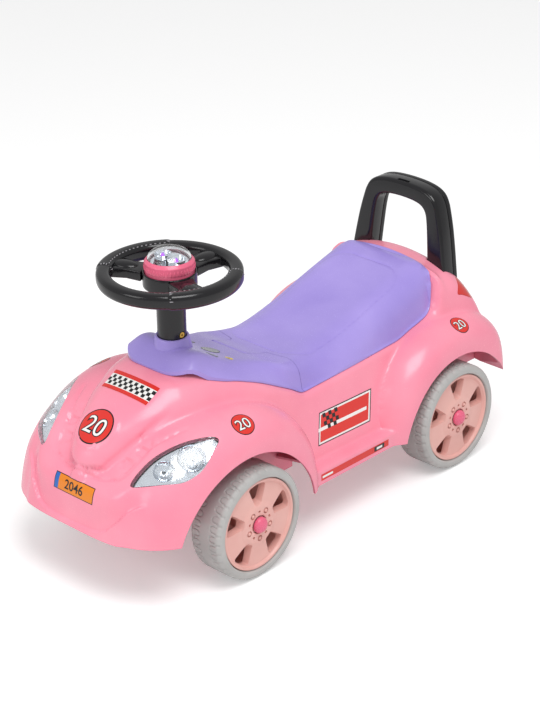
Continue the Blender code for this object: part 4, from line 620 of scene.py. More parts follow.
handleSizes = {
    "front": 250, "depth": 29, "split": 19, "groove": 0.8, "base": 184, "waist": 229, "lean": 0.06, "softness": 4.6,
    "screwAt": (62, 256.8),
    "outer": [(80.5, 184), (78.3, 207), (75, 229), (71.2, 252), (66.8, 275), (62, 294), (57.8, 307), (51.5, 317),
              (41.5, 323.2), (27, 326.6), (9, 328)],
    "inner": [(49.5, 184), (48.6, 207), (47, 229), (45.2, 250), (43.3, 270), (41.4, 285), (38.8, 295.5), (33, 302.5),
              (23, 306), (8, 307.5)],
}
lampShapes = {
    "headlight": {
        "centre": (102, -233, 165.5), "axis": (0.478, -0.464, 0.746),
        "outline": [(-56, -23), (-46, -8), (-27, 8), (-1, 21), (24, 28), (38, 29.5), (42.5, 24.5), (36, 11), (28, -4),
                    (18, -15), (2, -24), (-17, -26), (-40, -26)],
    },
    "tail_light": {
        "centre": (93, 270, 204), "axis": (0.88, 0.25, 0.4),
        "outline": [(-16, 1), (-10, 10), (-2.5, 18.5), (4, 16), (10, 8), (14.5, -2), (16.5, -12), (14, -17), (4, -12),
                    (-8, -4)],
    },
}


def planeFrame(centre, axis):
    out = Vector(axis).normalized()
    level = Vector((0, 0, 1)).cross(out).normalized()
    return Matrix.Translation(Vector(centre) * mm) @ Matrix((level, out.cross(level), out)).transposed().to_4x4()


def lampPrism(lamp, grow):
    points = np.array(smoothLoop(lamp["outline"]))
    edge = np.roll(points, -1, axis=0) - np.roll(points, 1, axis=0)
    normal = np.stack([edge[:, 1], -edge[:, 0]], -1)
    normal /= np.linalg.norm(normal, axis=1)[:, None]
    if ((points - points.mean(axis=0)) * normal).sum() < 0:
        normal = -normal
    return moved(prism((points + normal * grow).tolist(), 2, -24, 20), planeFrame(lamp["centre"], lamp["axis"]))


def handleOutline(grow=0.0):
    sides = []
    for way, line in ((1, handleSizes["outer"]), (-1, handleSizes["inner"])):
        side = np.array(smoothPath(line + [(-x, z) for x, z in line[::-1]], 6))
        run = np.gradient(side, axis=0)
        out = np.stack([run[:, 1], -run[:, 0]], -1) / np.linalg.norm(run, axis=1)[:, None]
        sides.append(side + out * grow * way)
    return [tuple(p) for p in sides[0]] + [tuple(p) for p in sides[1][::-1]]


def leaned(mesh):
    for vert in mesh.vertices:
        vert.co.y += handleSizes["lean"] * (vert.co.z - handleSizes["waist"] * mm)
    return mesh


def posts(low, high, radius):
    return joined(*[rod((side * x, y, low), (side * x, y, high), radius, steps=20)
                    for x, y in shape["trayScrews"] for side in (-1, 1)])


def bodyShell():
    outer = bodySolid(0, relief=bodyRelief)
    shelf = box((-170, 240, 178), (170, 340, 183.7))
    inner = bodySolid(shape["wall"] + 1, "coarse", 57, noseWall=shape["noseWall"])
    liners = pair(joined(*[box(*corners) for corners in shape["liners"]]))
    liners = combined(liners, "INTERSECT", bodySolid(1.5, "coarse", 57))
    body = fused(cut(outer, cut(inner, posts(91.3, 320, shape["screwBoss"]), shelf)), liners)
    front, rear, floor = shape["frontAxle"], shape["rearAxle"], 20
    below = [(-343, shape["frontEdge"]), (front, shape["frontEdge"]), (front, shape["sillEdge"]),
             (rear, shape["sillEdge"]), (rear, shape["rearEdge"]), (339, shape["rearEdge"]), (339, floor),
             (-343, floor)]
    arches = [pair(prism(arc(centre, radius, 0, 358, 179), 0, shape["archInner"], 170))
              for centre, radius in shape["arches"]]
    core = bodySolid(shape["wall"] + 10, "coarse")
    openings = [pair(cut(lampPrism(lamp, 0), core)) for lamp in lampShapes.values()]
    s, gap = handleSizes, 0.4
    slot = leaned(prism(handleOutline(gap), 1, s["front"] - gap, s["front"] + s["depth"] + gap))
    return cut(body, prism(below, 0, -170, 170), *arches, *openings, posts(86, 107, shape["screwHole"]),
               box(*shape["well"]), rod((0, columnY, 200), (0, columnY, 250), shape["columnBore"]), slot)


addPiece("bodyMoulding", bodyShell(), "body", "pink", ["body_shell"])
print("body shell ready")


# Dash cover and seat

coverSizes = {"tongueHalf": 27.5, "tongueFront": -55.5, "tongueRoot": -18, "seam": -12, "seamGap": 0.5, "corner": 6,
              "collarTop": 258, "collarDepth": 24, "collarRadius": 19.5, "collarFoot": 24.5, "stemHole": 17.3,
              "barrel": 5.5, "pinHole": 2.3}


def seamOutline(gap):
    s = coverSizes
    half, root = s["tongueHalf"] - gap, s["tongueRoot"] + gap
    right = [(half, s["tongueFront"] + gap), (half, root - s["corner"])]
    right += arc((half + s["corner"], root - s["corner"]), s["corner"], 180, 90, 8)[1:]
    right += [(s["tongueHalf"] * 2, s["seam"] + gap), (170, s["seam"] + gap), (170, 340)]
    return right + [(-x, y) for x, y in right[::-1]]


def coverPieces():
    right = shape["coverPlan"]
    plan = smoothLoop(right + [(-x, y) for x, y in right[::-1]], 10)
    outer = closedSkin(coverField, *coverGrid["fine"], 140, seatRelief)
    outer = combined(outer, "INTERSECT", prism(plan, 2, 100, 300))
    inset = shape["coverWall"] + 1.2
    inner = closedSkin(lambda x, y, z: coverField(x, y, z) + inset * mm, *coverGrid["coarse"], 137)
    standing = bodySolid(-0.5)
    wall = cut(outer, inner, standing)
    s, hole = coverSizes, coverSizes["pinHole"]
    y = s["tongueFront"] + s["seamGap"] + s["barrel"]
    z = float(along(shape["coverTop"], np.array(y * mm))) / mm - s["barrel"]
    dash = cut(wall.copy(), prism(seamOutline(0), 2, 100, 300))
    foot = s["collarTop"] - s["collarDepth"]
    collar = lathe(softProfile([(0, foot), (s["collarFoot"], foot), (s["collarRadius"], s["collarTop"]),
                                (0, s["collarTop"])], 1.5))
    collar = cut(moved(collar, shifted(0, columnY, 0)), standing)
    lug = box((s["tongueHalf"] + 0.3, y - s["barrel"], z - s["barrel"]),
              (s["tongueHalf"] + 5.3, y + s["barrel"], z + s["barrel"] - 3))
    dash = cut(fused(dash, collar, pair(lug)), rod((0, columnY, 200), (0, columnY, 300), s["stemHole"]),
               rod((-34, y, z), (34, y, z), hole, steps=24))
    seat = combined(wall, "INTERSECT", prism(seamOutline(s["seamGap"]), 2, 100, 300))
    seat = cut(seat, box((-170, s["tongueFront"], 100), (170, y, 300)))
    half = s["tongueHalf"] - s["seamGap"]
    seat = fused(seat, rod((-half, y, z), (half, y, z), s["barrel"], steps=32))
    return dash, cut(seat, rod((-half - 1, y, z), (half + 1, y, z), hole, steps=24))


dashMesh, seatMesh = coverPieces()
addPiece("dashMoulding", dashMesh, "body", "lilac", ["dash_cover"])
addPiece("seatMoulding", seatMesh, "seat", "lilac", ["seat_lid"])
print("dash cover and seat ready")


# Lamps

# the two bowls of a headlight: centre on the lamp's plane, bowl radius, bulb radius, and the bulb's level
lampBowls = [((12, 5), 17, 3.6, -10.6), ((-19, -9), 13, 2.8, -8.1)]


def lampPieces():
    outer, inner = bodySolid(0.2), bodySolid(2.4, "coarse")
    for name, slotName in (("headlight", "clear"), ("tail_light", "red")):
        lens = cut(combined(lampPrism(lampShapes[name], -0.3), "INTERSECT", outer), inner)
        addPair(name + "Lens", lens, slotName, name + "_lens")
    lamp = lampShapes["headlight"]
    place = planeFrame(lamp["centre"], lamp["axis"])
    housing = combined(lampPrism(lamp, 1.5), "INTERSECT", bodySolid(4.4, "coarse"))
    for (u, v), radius, _, _ in lampBowls:
        bowl = place @ shifted(u, v, 1) @ Matrix.Diagonal((1, 1, 0.8, 1))
        housing = cut(housing, ball(bowl, radius, 11))
    addPair("headlightBowls", housing, "metallised", "headlight_reflector", sharp=9)
    for i, ((u, v), _, r, foot) in enumerate(lampBowls):
        bulb = lathe([(0, -3), (r, -3), (r, 2), (r * 0.8, 4), (r * 0.4, 5), (0, 5.3)], 32)
        addPair("headlightBulb", moved(bulb, place @ shifted(u, v, foot)), "clear", number=str(i + 1))


lampPieces()
print("lamps ready")


# Copies round an arc: ribs, studs and stitches, by one Geometry Nodes tree

def copiesTree():
    tree = bpy.data.node_groups.new("copiesRoundAnArc", "GeometryNodeTree")
    sockets = [("Geometry", "OUT", "NodeSocketGeometry", None), ("Count", "IN", "NodeSocketInt", 24),
               ("Radius", "IN", "NodeSocketFloat", 0.02), ("Height", "IN", "NodeSocketFloat", 0.0),
               ("Start", "IN", "NodeSocketFloat", 0.0), ("Step", "IN", "NodeSocketFloat", 0.2),
               ("Size", "IN", "NodeSocketVector", (0.001, 0.001, 0.001)),
               ("Material", "IN", "NodeSocketMaterial", None)]
    for name, way, kind, value in sockets:
        made = tree.interface.new_socket(name, in_out=way + "PUT", socket_type=kind)
        if value is not None:
            made.default_value = value
    given, result = tree.nodes.new("NodeGroupInput"), tree.nodes.new("NodeGroupOutput")
    line = addNode(tree, "GeometryNodeMeshLine", {"Count": given.outputs["Count"]})
    angle = addNode(tree, "ShaderNodeMath", {0: addNode(tree, "GeometryNodeInputIndex").outputs[0],
                                             1: given.outputs["Step"], 2: given.outputs["Start"]},
                    operation="MULTIPLY_ADD").outputs[0]
    places = []
    for operation in ("COSINE", "SINE"):
        part = addNode(tree, "ShaderNodeMath", {0: angle}, operation=operation).outputs[0]
        places.append(addNode(tree, "ShaderNodeMath", {0: part, 1: given.outputs["Radius"]},
                              operation="MULTIPLY").outputs[0])
    spot = addNode(tree, "ShaderNodeCombineXYZ", {0: places[0], 1: places[1], 2: given.outputs["Height"]})
    turn = addNode(tree, "ShaderNodeCombineXYZ", {2: angle})
    points = addNode(tree, "GeometryNodeSetPosition", {"Geometry": line.outputs[0], "Position": spot.outputs[0]})
    knob = addNode(tree, "GeometryNodeMeshUVSphere", {"Segments": 12, "Rings": 8, "Radius": 1.0})
    copies = addNode(tree, "GeometryNodeInstanceOnPoints",
                     {"Points": points.outputs[0], "Instance": knob.outputs[0], "Rotation": turn.outputs[0],
                      "Scale": given.outputs["Size"]})
    real = addNode(tree, "GeometryNodeRealizeInstances", {"Geometry": copies.outputs[0]})
    painted = addNode(tree, "GeometryNodeSetMaterial",
                      {"Geometry": real.outputs[0], "Material": given.outputs["Material"]})
    tree.links.new(painted.outputs[0], result.inputs[0])
    return tree


copies = copiesTree()


def copiesRound(material, count, radius, height, size, start=0.0, sweep=360.0):
    # radius, height and size (outwards, round and up) in mm; a full circle by default
    holder = linked("copies", bpy.data.meshes.new("copies"))
    modifier = holder.modifiers.new("Copies", "NODES")
    modifier.node_group = copies
    step = sweep / count if sweep == 360 else sweep / max(count - 1, 1)
    values = {"Count": count, "Radius": radius * mm, "Height": height * mm, "Start": math.radians(start),
              "Step": math.radians(step), "Size": [v * mm for v in size], "Material": material}
    for item in copies.interface.items_tree:
        if item.in_out == "INPUT":
            modifier[item.identifier] = values[item.name]
    return evaluated(holder)


# Wheels, drawn with their axle along Z and their outer face up

wheelSizes = {"radius": 67.5, "width": 47.5, "seat": 56.5, "face": 143.5, "spokes": 5, "studCircle": 17.5,
              "cap": 9.6, "capHeight": 5.6, "dents": 36, "dentDepth": 1.0, "hub": 11.6, "bore": 4.25}


def tyreMesh():
    s = wheelSizes
    r, w, seat = s["radius"], s["width"], s["seat"]
    profile = softProfile([(seat, -w + 1), (seat + 2, -w), (r - 4, -w), (r, -w + 4), (r, -4), (r - 4, 0), (seat + 1, 0),
                           (seat, -3)], 2.4, 5)
    dense = []
    for here, there in zip(profile, profile[1:] + profile[:1]):
        pieces = max(1, int(math.hypot(there[0] - here[0], there[1] - here[1]) / 1.2))
        dense += [(here[0] + (there[0] - here[0]) * k / pieces, here[1] + (there[1] - here[1]) * k / pieces)
                  for k in range(pieces)]
    steps = 540
    turn = np.arange(steps) * math.tau / steps
    radius, height = np.array(dense).T
    turnGrid, radiusGrid = np.meshgrid(turn, radius)
    heightGrid = np.meshgrid(turn, height)[1]
    pitch = math.tau / s["dents"]
    outside = fade(radiusGrid - (r - 3.4), 1.0)
    # notches across each shoulder, and between them arches pressed into the tread; depths are from the tyre's face
    notchHalf, notchDepth, notchReach = 1.5, 4.6, 3.2
    archRadius, archHalf, archFoot, archDepth = 3.6, 0.9, 7.5, 12.5
    for edge, way in ((0, 1), (-w, -1)):
        depth = (edge - heightGrid) * way
        notch = (turnGrid + pitch / 2) % pitch - pitch / 2
        square = np.maximum(np.abs(notch * r) - notchHalf, np.abs(depth - notchDepth) - notchReach)
        arch = turnGrid % pitch - pitch / 2
        ring = np.hypot(arch * r, np.maximum(depth - archDepth, 0)) - archRadius
        line = fade(archHalf - np.abs(ring), 0.6) * (depth > archFoot)
        radiusGrid = radiusGrid - s["dentDepth"] * outside * np.maximum(fade(0.4 - square, 0.8), line)
    return torus(radiusGrid, turnGrid, heightGrid)


def rimMesh():
    s = wheelSizes
    w, drum, hub = s["width"], s["seat"] - 0.8, s["hub"]
    profile = [(s["bore"], -w - 2.5), (hub, -w - 2.5), (hub + 2, -w + 1.5), (drum, -w + 1.5), (drum, -2.4),
               (drum - 3, -2.4), (drum - 4.6, -5.4), (28, -4.2), (22, -2.2), (hub + 1, -2.2), (hub - 0.6, -2.6),
               (hub - 0.6, -6.5), (s["bore"], -6.5)]
    body = lathe(softProfile(profile, 0.9), 180)
    body = cut(body, lathe([(hub + 3, -13), (drum - 3, -13), (drum - 3, -w + 4.5), (hub + 3, -w + 4.5)], 120))
    low, high, narrow = 23.5, drum - 5.5, 0.7
    outline = smoothPath([(low, -4), (low, 4), (low + 3, 6.6), (high - 6.5, 13.4), (high - 2.5, 13.6), (high, 9),
                          (high + 0.7, 0), (high, -9), (high - 2.5, -13.6), (high - 6.5, -13.4), (low + 3, -6.6),
                          (low, -4)], 5)[:-1]
    for i in range(s["spokes"]):
        window = prism(outline, 2, -16, 0)
        for vert in window.vertices:
            # the walls slope in towards the back
            if vert.co.z < -0.001:
                vert.co.x, vert.co.y = (high - 3) * mm + (vert.co.x - (high - 3) * mm) * narrow, vert.co.y * narrow
        turn = turned(360 * (i + 0.5) / s["spokes"])
        # a stud in a ring on each spoke, and a slot beside each window
        ringCut = lathe([(2.2, -4.6), (3.6, -4.6), (3.6, 0), (2.2, 0)], 32)
        spot = turned(360 * i / s["spokes"]) @ shifted(s["studCircle"], 0, 0)
        body = cut(body, moved(window, turn), moved(ringCut, spot), moved(box((15.4, -1.6, -4.4), (18, 1.6, 0)), turn))
    return body


def capMesh():
    s = wheelSizes
    r, high, brim = s["cap"], s["capHeight"], -3.2
    return lathe(softProfile([(0, high), (r * 0.45, high - 0.7), (r * 0.8, high - 2.6), (r, high - 5.2), (r, brim),
                              (r - 1.4, brim), (r - 1.6, high - 6), (r * 0.5, high - 2.8), (0, high - 2)], 1.4, 4), 72)


def wheels():
    s = wheelSizes
    studs = copiesRound(finishes["rim"], s["spokes"], s["studCircle"], -2.4, (1.9, 1.9, 1.3))
    parts = (("Tyre", tyreMesh(), "tyre_grey", ["_tyre"]), ("Rim", rimMesh(), "rim", ["_rim"]),
             ("Cap", capMesh(), "cap", ["_hub_cap"]), ("Studs", studs, "rim", []))
    for end, side in [(end, side) for end in ("front", "rear") for side in ("left", "right")]:
        way, node = 1 if side == "left" else -1, end + "_" + side
        place = shifted(way * s["face"], shape[end + "Axle"], shape["axleHeight"])
        place = place @ Matrix.Rotation(math.radians(90 * way), 4, "Y")
        for label, mesh, slotName, replaced in parts:
            addPiece(end + side.title() + label, moved(mesh.copy(), place), node + "_wheel", slotName,
                     [node + part for part in replaced])


wheels()
print("wheels ready")


# Steering wheel

gripSizes = {"radius": 84, "width": 18.4, "top": 343, "height": 17, "wrapSweep": 82, "wrapCentres": (-3.5, 176.5),
             "wrapRise": 0.9, "spokes": (90, 200, 340), "spokeTop": 336, "spokeThick": 12, "spokeWidth": 30, "hub": 31,
             "stem": 16.8, "stemFoot": 240, "hubFloor": 322, "hubTop": 337, "ring": 28.7, "boltHeight": 262,
             "stitchLane": 118, "squareness": 0.72, "skirt": 2.6}


def wrapAt(turn):
    # how far into a stitched section an angle lies, 0 outside and 1 inside
    best = 0 * turn
    for centre in gripSizes["wrapCentres"]:
        off = np.abs((turn - math.radians(centre) + math.pi) % math.tau - math.pi)
        best = np.maximum(best, fade(math.radians(gripSizes["wrapSweep"] / 2) - off, math.radians(1.2)))
    return best


def gripMesh():
    s = gripSizes
    middle, half = s["radius"] - s["width"] / 2, s["width"] / 2
    steps, around = 360, 48
    turn = np.arange(steps) * math.tau / steps
    bend = np.arange(around) * math.tau / around
    turnGrid, bendGrid = np.meshgrid(turn, bend)
    rise = s["wrapRise"] * wrapAt(turnGrid)
    # squarer than a circle, with an upright outer wall
    round_, flat = (np.sign(f) * np.abs(f) ** s["squareness"] for f in (np.cos(bendGrid), np.sin(bendGrid)))
    across = (half - s["wrapRise"] + rise) * round_
    level = s["top"] - s["height"] / 2 - s["wrapRise"] + (s["height"] / 2 - s["wrapRise"] + rise) * flat
    return torus(middle + across, turnGrid, level - s["skirt"] * np.maximum(-flat, 0))


def steeringWheel():
    s = gripSizes
    middle, half = s["radius"] - s["width"] / 2, s["width"] / 2
    wheel = gripMesh()
    for angle in s["spokes"]:
        inner, outer, wide, waist = s["hub"] - 1.5, middle - half + 2.5, s["spokeWidth"] / 2, s["spokeWidth"] * 0.42
        outline = [(inner, -wide), ((inner + outer) / 2, -waist), (outer, -wide * 1.15), (outer, wide * 1.15),
                   ((inner + outer) / 2, waist), (inner, wide)]
        arm = prism(outline, 2, s["spokeTop"] - s["spokeThick"], s["spokeTop"])
        edit = opened(arm)
        long = [e for e in edit.edges if abs(e.verts[0].co.z - e.verts[1].co.z) < 1e-7]
        bmesh.ops.bevel(edit, geom=long, offset=1.6 * mm, segments=3, profile=0.5, affect="EDGES")
        # a flat oval pad where the spoke meets the grip
        pad = shifted(middle - half - 9, 0, s["spokeTop"] - 0.6)
        arm = fused(tidied(edit), ball(pad @ Matrix.Diagonal((17, 10, 4.6, 1)), 1))
        wheel = fused(wheel, moved(arm, turned(angle)))
    cup = s["ring"] + 0.3
    hub = softProfile([(5.25, s["stemFoot"]), (s["stem"], s["stemFoot"]), (s["stem"], s["hubFloor"] - 12),
                       (s["hub"] - 6, s["hubFloor"] - 7), (s["hub"], s["hubFloor"] - 2), (s["hub"], s["hubTop"]),
                       (cup, s["hubTop"]), (cup, s["hubFloor"]), (5.25, s["hubFloor"])], 1.0, 4)
    wheel = fused(wheel, lathe(hub, 120), rod((0, 0, 302.3), (0, 0, s["hubFloor"] - 0.5), 6.2))
    counterbore = rod((s["stem"] - 3, 0, s["boltHeight"]), (s["stem"] + 5, 0, s["boltHeight"]), 4.4)
    return cut(wheel, pair(counterbore), rod((-20, 0, s["boltHeight"]), (20, 0, s["boltHeight"]), 2.3, steps=24))


def onGrip(bend, depth, power=1.0):
    # radius and height of a point this far under the grip's skin; bend is its angle in degrees round the section
    s, bend = gripSizes, math.radians(bend)
    across, up = (math.copysign(abs(f) ** power, f) for f in (math.cos(bend), math.sin(bend)))
    half, rise = s["width"] / 2, s["height"] / 2
    return s["radius"] - half + (half - depth) * across, s["top"] - rise - s["wrapRise"] + (rise - depth) * up


def steeringPieces():
    s = gripSizes
    place = shifted(0, columnY, 0)
    addPiece("steeringWheelMoulding", moved(steeringWheel(), place), "steering", "black", ["steering_wheel"])
    stitches = []
    for centre in s["wrapCentres"]:
        # the seams across both ends of each wrapped section
        for side in (-0.5, 0.5):
            angle = centre + side * (s["wrapSweep"] - 3.4)
            stitches += [copiesRound(finishes["black"], 1, *onGrip(12 + k * 19.5, 0.2), (0.9, 2.2, 0.6), start=angle)
                         for k in range(9)]
        # one row of raised stitches along the inner edge of the top
        # these stitches are painted grey, a painted highlight on black stitches
        stitches.append(copiesRound(finishes["paintedStitchHighlight"], 17, *onGrip(s["stitchLane"], 0.3, s["squareness"]),
                                    (0.8, 1.5, 0.7), start=centre - s["wrapSweep"] / 2 + 5, sweep=s["wrapSweep"] - 10))
    # every stitch takes the grey finish, a painted highlight in place of their glossy black
    addPiece("gripStitches", moved(joined(*stitches), place), "steering", "black", material=finishes["paintedStitchHighlight"])


sirenSizes = {"foot": 322.3, "flare": 339.5, "ribs": 343, "top": 353, "mouth": 25.2, "apex": 364.7, "dome": 24.8,
              "domeWall": 1.5, "lampAt": 11}


def sirenPieces():
    s = sirenSizes
    place, outer, top, foot, spread = shifted(0, columnY, 0), gripSizes["ring"], s["top"], s["foot"], s["lampAt"]
    inside = outer - 2.4
    ring = lathe(softProfile([(inside, foot), (outer - 0.4, foot), (outer - 0.4, s["flare"]), (outer, s["flare"] + 1),
                              (outer, top - 4), (s["mouth"], top), (s["mouth"], top - 1.6), (inside, top - 1.6)], 0.8),
                 120)
    addPiece("buttonRingMoulding", moved(ring, place), "steering", "cap", ["button_ring"])
    ribs = copiesRound(finishes["cap"], 44, outer - 0.2, s["ribs"], (0.9, 1.1, 3.2))
    addPiece("buttonRingRibs", moved(ribs, place), "steering", "cap")

    flange, radius, apex, wall = top - 1.9, s["dome"], s["apex"], s["domeWall"]
    outside, hollow = ([(r * math.cos(t), low + (high - low) * math.sin(t)) for t in np.linspace(0, math.pi / 2, count)]
                       for r, low, high, count in ((radius, flange + 1.6, apex, 20),
                                                   (radius - wall, flange - 1.4, apex - wall, 16)))
    outside[-1], hollow[-1] = (0, apex), (0, apex - wall)
    profile = outside[::-1] + [(radius, flange), (inside - 0.3, flange), (inside - 0.3, flange - 1.4)] + hollow
    addPiece("domeCover", moved(lathe(profile, 96), place), "siren_button", "clear", ["dome_button"])

    plateTop = flange - 1.7
    plate = lathe([(0, plateTop), (inside - 0.3, plateTop), (inside - 0.3, plateTop - 1.5), (3, plateTop - 1.5),
                   (3, plateTop - 5), (0, plateTop - 5)], 96)
    plate = cut(plate, pair(rod((spread, 0, plateTop - 4), (spread, 0, plateTop + 1), 3.2, 7.5)))
    # a metallised bowl stands on the plate round each lamp
    bowl = lathe([(8, plateTop), (9.2, plateTop), (10.4, plateTop + 4.2), (10.2, plateTop + 4.6),
                  (9.7, plateTop + 4.4)], 60)
    bowls = pair(moved(bowl, shifted(spread, 0, 0)))
    addPiece("domePlate", moved(joined(plate, bowls), place), "siren_button", "metallised", ["dome_reflector"])
    for side, node in ((1, "led_left"), (-1, "led_right")):
        # round 5 mm lamps that stand up out of the bowls
        led = lathe([(0, plateTop + 4), (1.2, plateTop + 3.6), (2.2, plateTop + 2.2), (2.5, plateTop + 0.6),
                     (2.5, plateTop - 8), (0, plateTop - 8)], 40)
        led = moved(led, shifted(side * spread, columnY, 0))
        addPiece("led" + node[4:].title(), led, "steering", "clear", [node], material=finishes["glow"])


steeringPieces()
sirenPieces()
print("steering wheel and siren ready")


# Handle: two shells with a groove between them

def handlePieces():
    s = handleSizes
    split, rear = s["front"] + s["split"], s["front"] + s["depth"]
    for label, node, low, high in (("Front", "handle_front", s["front"], split),
                                   ("Rear", "handle_rear", split + s["groove"], rear)):
        edit = opened(prism(handleOutline(), 1, low, high))
        outside, seam = (low, high) if label == "Front" else (high, low)
        for plane, offset, segments in ((outside, s["softness"], 6), (seam, 0.7, 2)):
            rim = [e for e in edit.edges if all(abs(v.co.y - plane * mm) < 1e-6 for v in e.verts)
                   and max(v.co.z for v in e.verts) > s["base"] * mm + 1e-6]
            bmesh.ops.bevel(edit, geom=rim, offset=offset * mm, segments=segments, profile=0.5, affect="EDGES")
        mesh = leaned(tidied(edit))
        if label == "Front":
            # the slot in its top, and the screws' holes in its feet
            across, back = s["screwAt"]
            hole = rod((across, back, s["base"] - 5), (across, back, s["base"] + 14), shape["screwHole"], steps=20)
            mesh = cut(mesh, box((-9, 259, 326.5), (9, 263.5, 331)), pair(hole))
        addPiece("handle" + label + "Moulding", mesh, "body", "black", [node])


handlePieces()
print("handle ready")


# Stickers, laid on the skins: generic race numbers, stripes and gauges

def flatShape(outline):
    return meshFrom([(u * mm, v * mm, 0) for u, v in outline], [range(len(outline))])


def numerals(text, height, fat=0.012):
    curve = bpy.data.curves.new("numerals", "FONT")
    curve.body, curve.align_x, curve.align_y, curve.offset = text, "CENTER", "CENTER", fat
    mesh = evaluated(linked("numerals", curve))
    low, high = (Vector([pick(v.co[i] for v in mesh.vertices) for i in range(3)]) for pick in (min, max))
    scale = height * mm / (high.y - low.y)
    return moved(mesh, Matrix.Scale(scale, 4) @ Matrix.Translation(-(low + high) / 2))


def laid(mesh, place, field, relief, lift):
    # cuts the flat mesh into small faces, then drops every point along the frame's axis onto the skin
    edit = opened(mesh)
    bmesh.ops.remove_doubles(edit, verts=edit.verts, dist=1e-7)
    bmesh.ops.triangulate(edit, faces=edit.faces)
    for _ in range(7):
        long = [edge for edge in edit.edges if edge.calc_length() > 2.6 * mm]
        if not long:
            break
        bmesh.ops.subdivide_edges(edit, edges=long, cuts=1)
        bmesh.ops.triangulate(edit, faces=edit.faces)
    flat = np.array([vert.co for vert in edit.verts])
    matrix = np.array(place)
    points = flat @ matrix[:3, :3].T + matrix[:3, 3]
    out = matrix[:3, 2]
    lengths = np.linspace(45 * mm, -45 * mm, 181)
    inside = np.stack([field(*(points + out * t).T) < 0 for t in lengths])
    first = np.maximum(np.argmax(inside, axis=0), 1)
    _, high = narrowed(field, points, out, lengths[first], lengths[first - 1])
    points = points + out * high[:, None]
    normal = gradient(field, points)
    points = points + normal * ((relief(points) + lift) * mm)[:, None]
    for vert, point in zip(edit.verts, points):
        vert.co = point
    for face in edit.faces:
        face.normal_update()
        if face.normal.dot(Vector(out)) < 0:
            face.normal_flip()
    return closed(edit)


def sticker(name, layers, centre, axis, onCover=False, turn=0.0):
    field, relief = (coverField, seatRelief) if onCover else (bodyField, bodyRelief)
    place = planeFrame(centre, axis) @ turned(turn)
    for i, (ink, mesh) in enumerate(layers):
        piece = laid(mesh, place, field, relief, 0.16 + 0.09 * i)
        addPiece(name + str(i + 1), piece, "body", "lilac" if onCover else "pink", material=inks[ink], sharp=60)


def disc(radius, squash=1.0):
    return flatShape([(x, y * squash) for x, y in arc((0, 0), radius, 0, 355, 71)])


def bar(low, high, slant=0.0):
    (u0, v0), (u1, v1) = low, high
    return flatShape([(u0, v0), (u1, v0), (u1 + slant * (v1 - v0), v1), (u0 + slant * (v1 - v0), v1)])


def raceNumber(radius, text):
    return [("black", disc(radius)), ("red", disc(radius * 0.93)), ("black", numerals(text, radius * 1.04, 0.05)),
            ("white", numerals(text, radius * 0.94, 0.0))]


def chequers(columns, rows, size, centre=(0, 0)):
    cells = []
    for i, j in [(i, j) for i in range(columns) for j in range(rows) if (i + j) % 2]:
        u, v = centre[0] + (i - columns / 2) * size, centre[1] + (j - rows / 2) * size
        cells.append(bar((u, v), (u + size, v + size)))
    return joined(*cells)


def stickers():
    sticker("noseNumber", raceNumber(22.5, "20"), (0, -264, 187), (0, -0.62, 0.785))
    sticker("plate", [("black", bar((-32, -9.6), (32, 9.6))), ("orange", bar((-31, -8.7), (31, 8.7))),
                      ("blue", bar((-31, -8.7), (-25, 8.7))), ("black", numerals("2046", 11))],
            (0, -301, 124.5), (0, -0.93, 0.36))
    sticker("bonnetBand", [("white", bar((-36, -13), (36, 13))), ("red", bar((-36, 8), (36, 13))),
                           ("black", chequers(16, 3, 4.5)), ("red", bar((-36, -13), (36, -8)))],
            (0, -211, 218), (0, -0.49, 0.87))
    for side, way in (("Left", 1), ("Right", -1)):
        slant = way * 0.3
        sticker("fenderNumber" + side, raceNumber(14, "20"), (way * 118, -151, 187.5), (way * 0.52, -0.06, 0.85))
        sticker("rearNumber" + side, raceNumber(12.5, "20"), (way * 120, 227, 178), (way * 0.6, 0, 0.8))
        sticker("doorFlash" + side, [("black", bar((-50, -19), (40, 19), slant)),
                                     ("white", bar((-48.5, -17.8), (38.8, 17.8), slant)),
                                     ("red", bar((-46, -15.6), (37, 15.6), slant)),
                                     ("white", bar((-46, -3), (37, 1), slant)),
                                     ("black", chequers(5, 4, 5, (-22 * way, 6.5)))],
                (way * 103, 38, 118), (way * 0.96, -0.03, 0.26))
        sticker("sillStripe" + side, [("red", bar((-60, -4.2), (60, 4.2))), ("white", bar((-58, -1.4), (-40, 1.4))),
                                      ("black", bar((34, -3), (52, 3))), ("white", bar((38, -1.5), (48, 1.5)))],
                (way * 128, 27, 74.3), (way, 0, 0))
    marks = [((6.6, -0.35), (9.2, 0.35), 210 - k * 30) for k in range(9)] + [((-1.5, -0.45), (6.8, 0.45), 60)]
    dial = joined(*[moved(bar(low, high), turned(angle)) for low, high, angle in marks])
    sticker("speedGauge", [("black", disc(11.5)), ("grey", disc(10.3)), ("white", dial)],
            (9, -92, 223), (0, 0.32, 0.95), onCover=True)
    sticker("fuelGauge", [("black", disc(8, 0.8)), ("grey", disc(7, 0.78)), ("white", bar((-0.4, -1), (0.4, 4)))],
            (36, -116, 233), (0, 0.35, 0.93), onCover=True)
    sticker("starterSpot", [("yellow", disc(5.4, 0.8)), ("black", disc(1.6))],
            (41.5, -94, 224), (0, 0.34, 0.94), onCover=True)
    sticker("keyhole", [("black", disc(2.6))], (-22.4, -89, 222), (0, 0.32, 0.95), onCover=True)
    sticker("dashSlot", [("black", disc(3.6, 0.5))], (-36, -136, 246), (0, 0, 1), onCover=True, turn=30)


stickers()
print("stickers ready")


# CAD nodes that stay get their real finishes

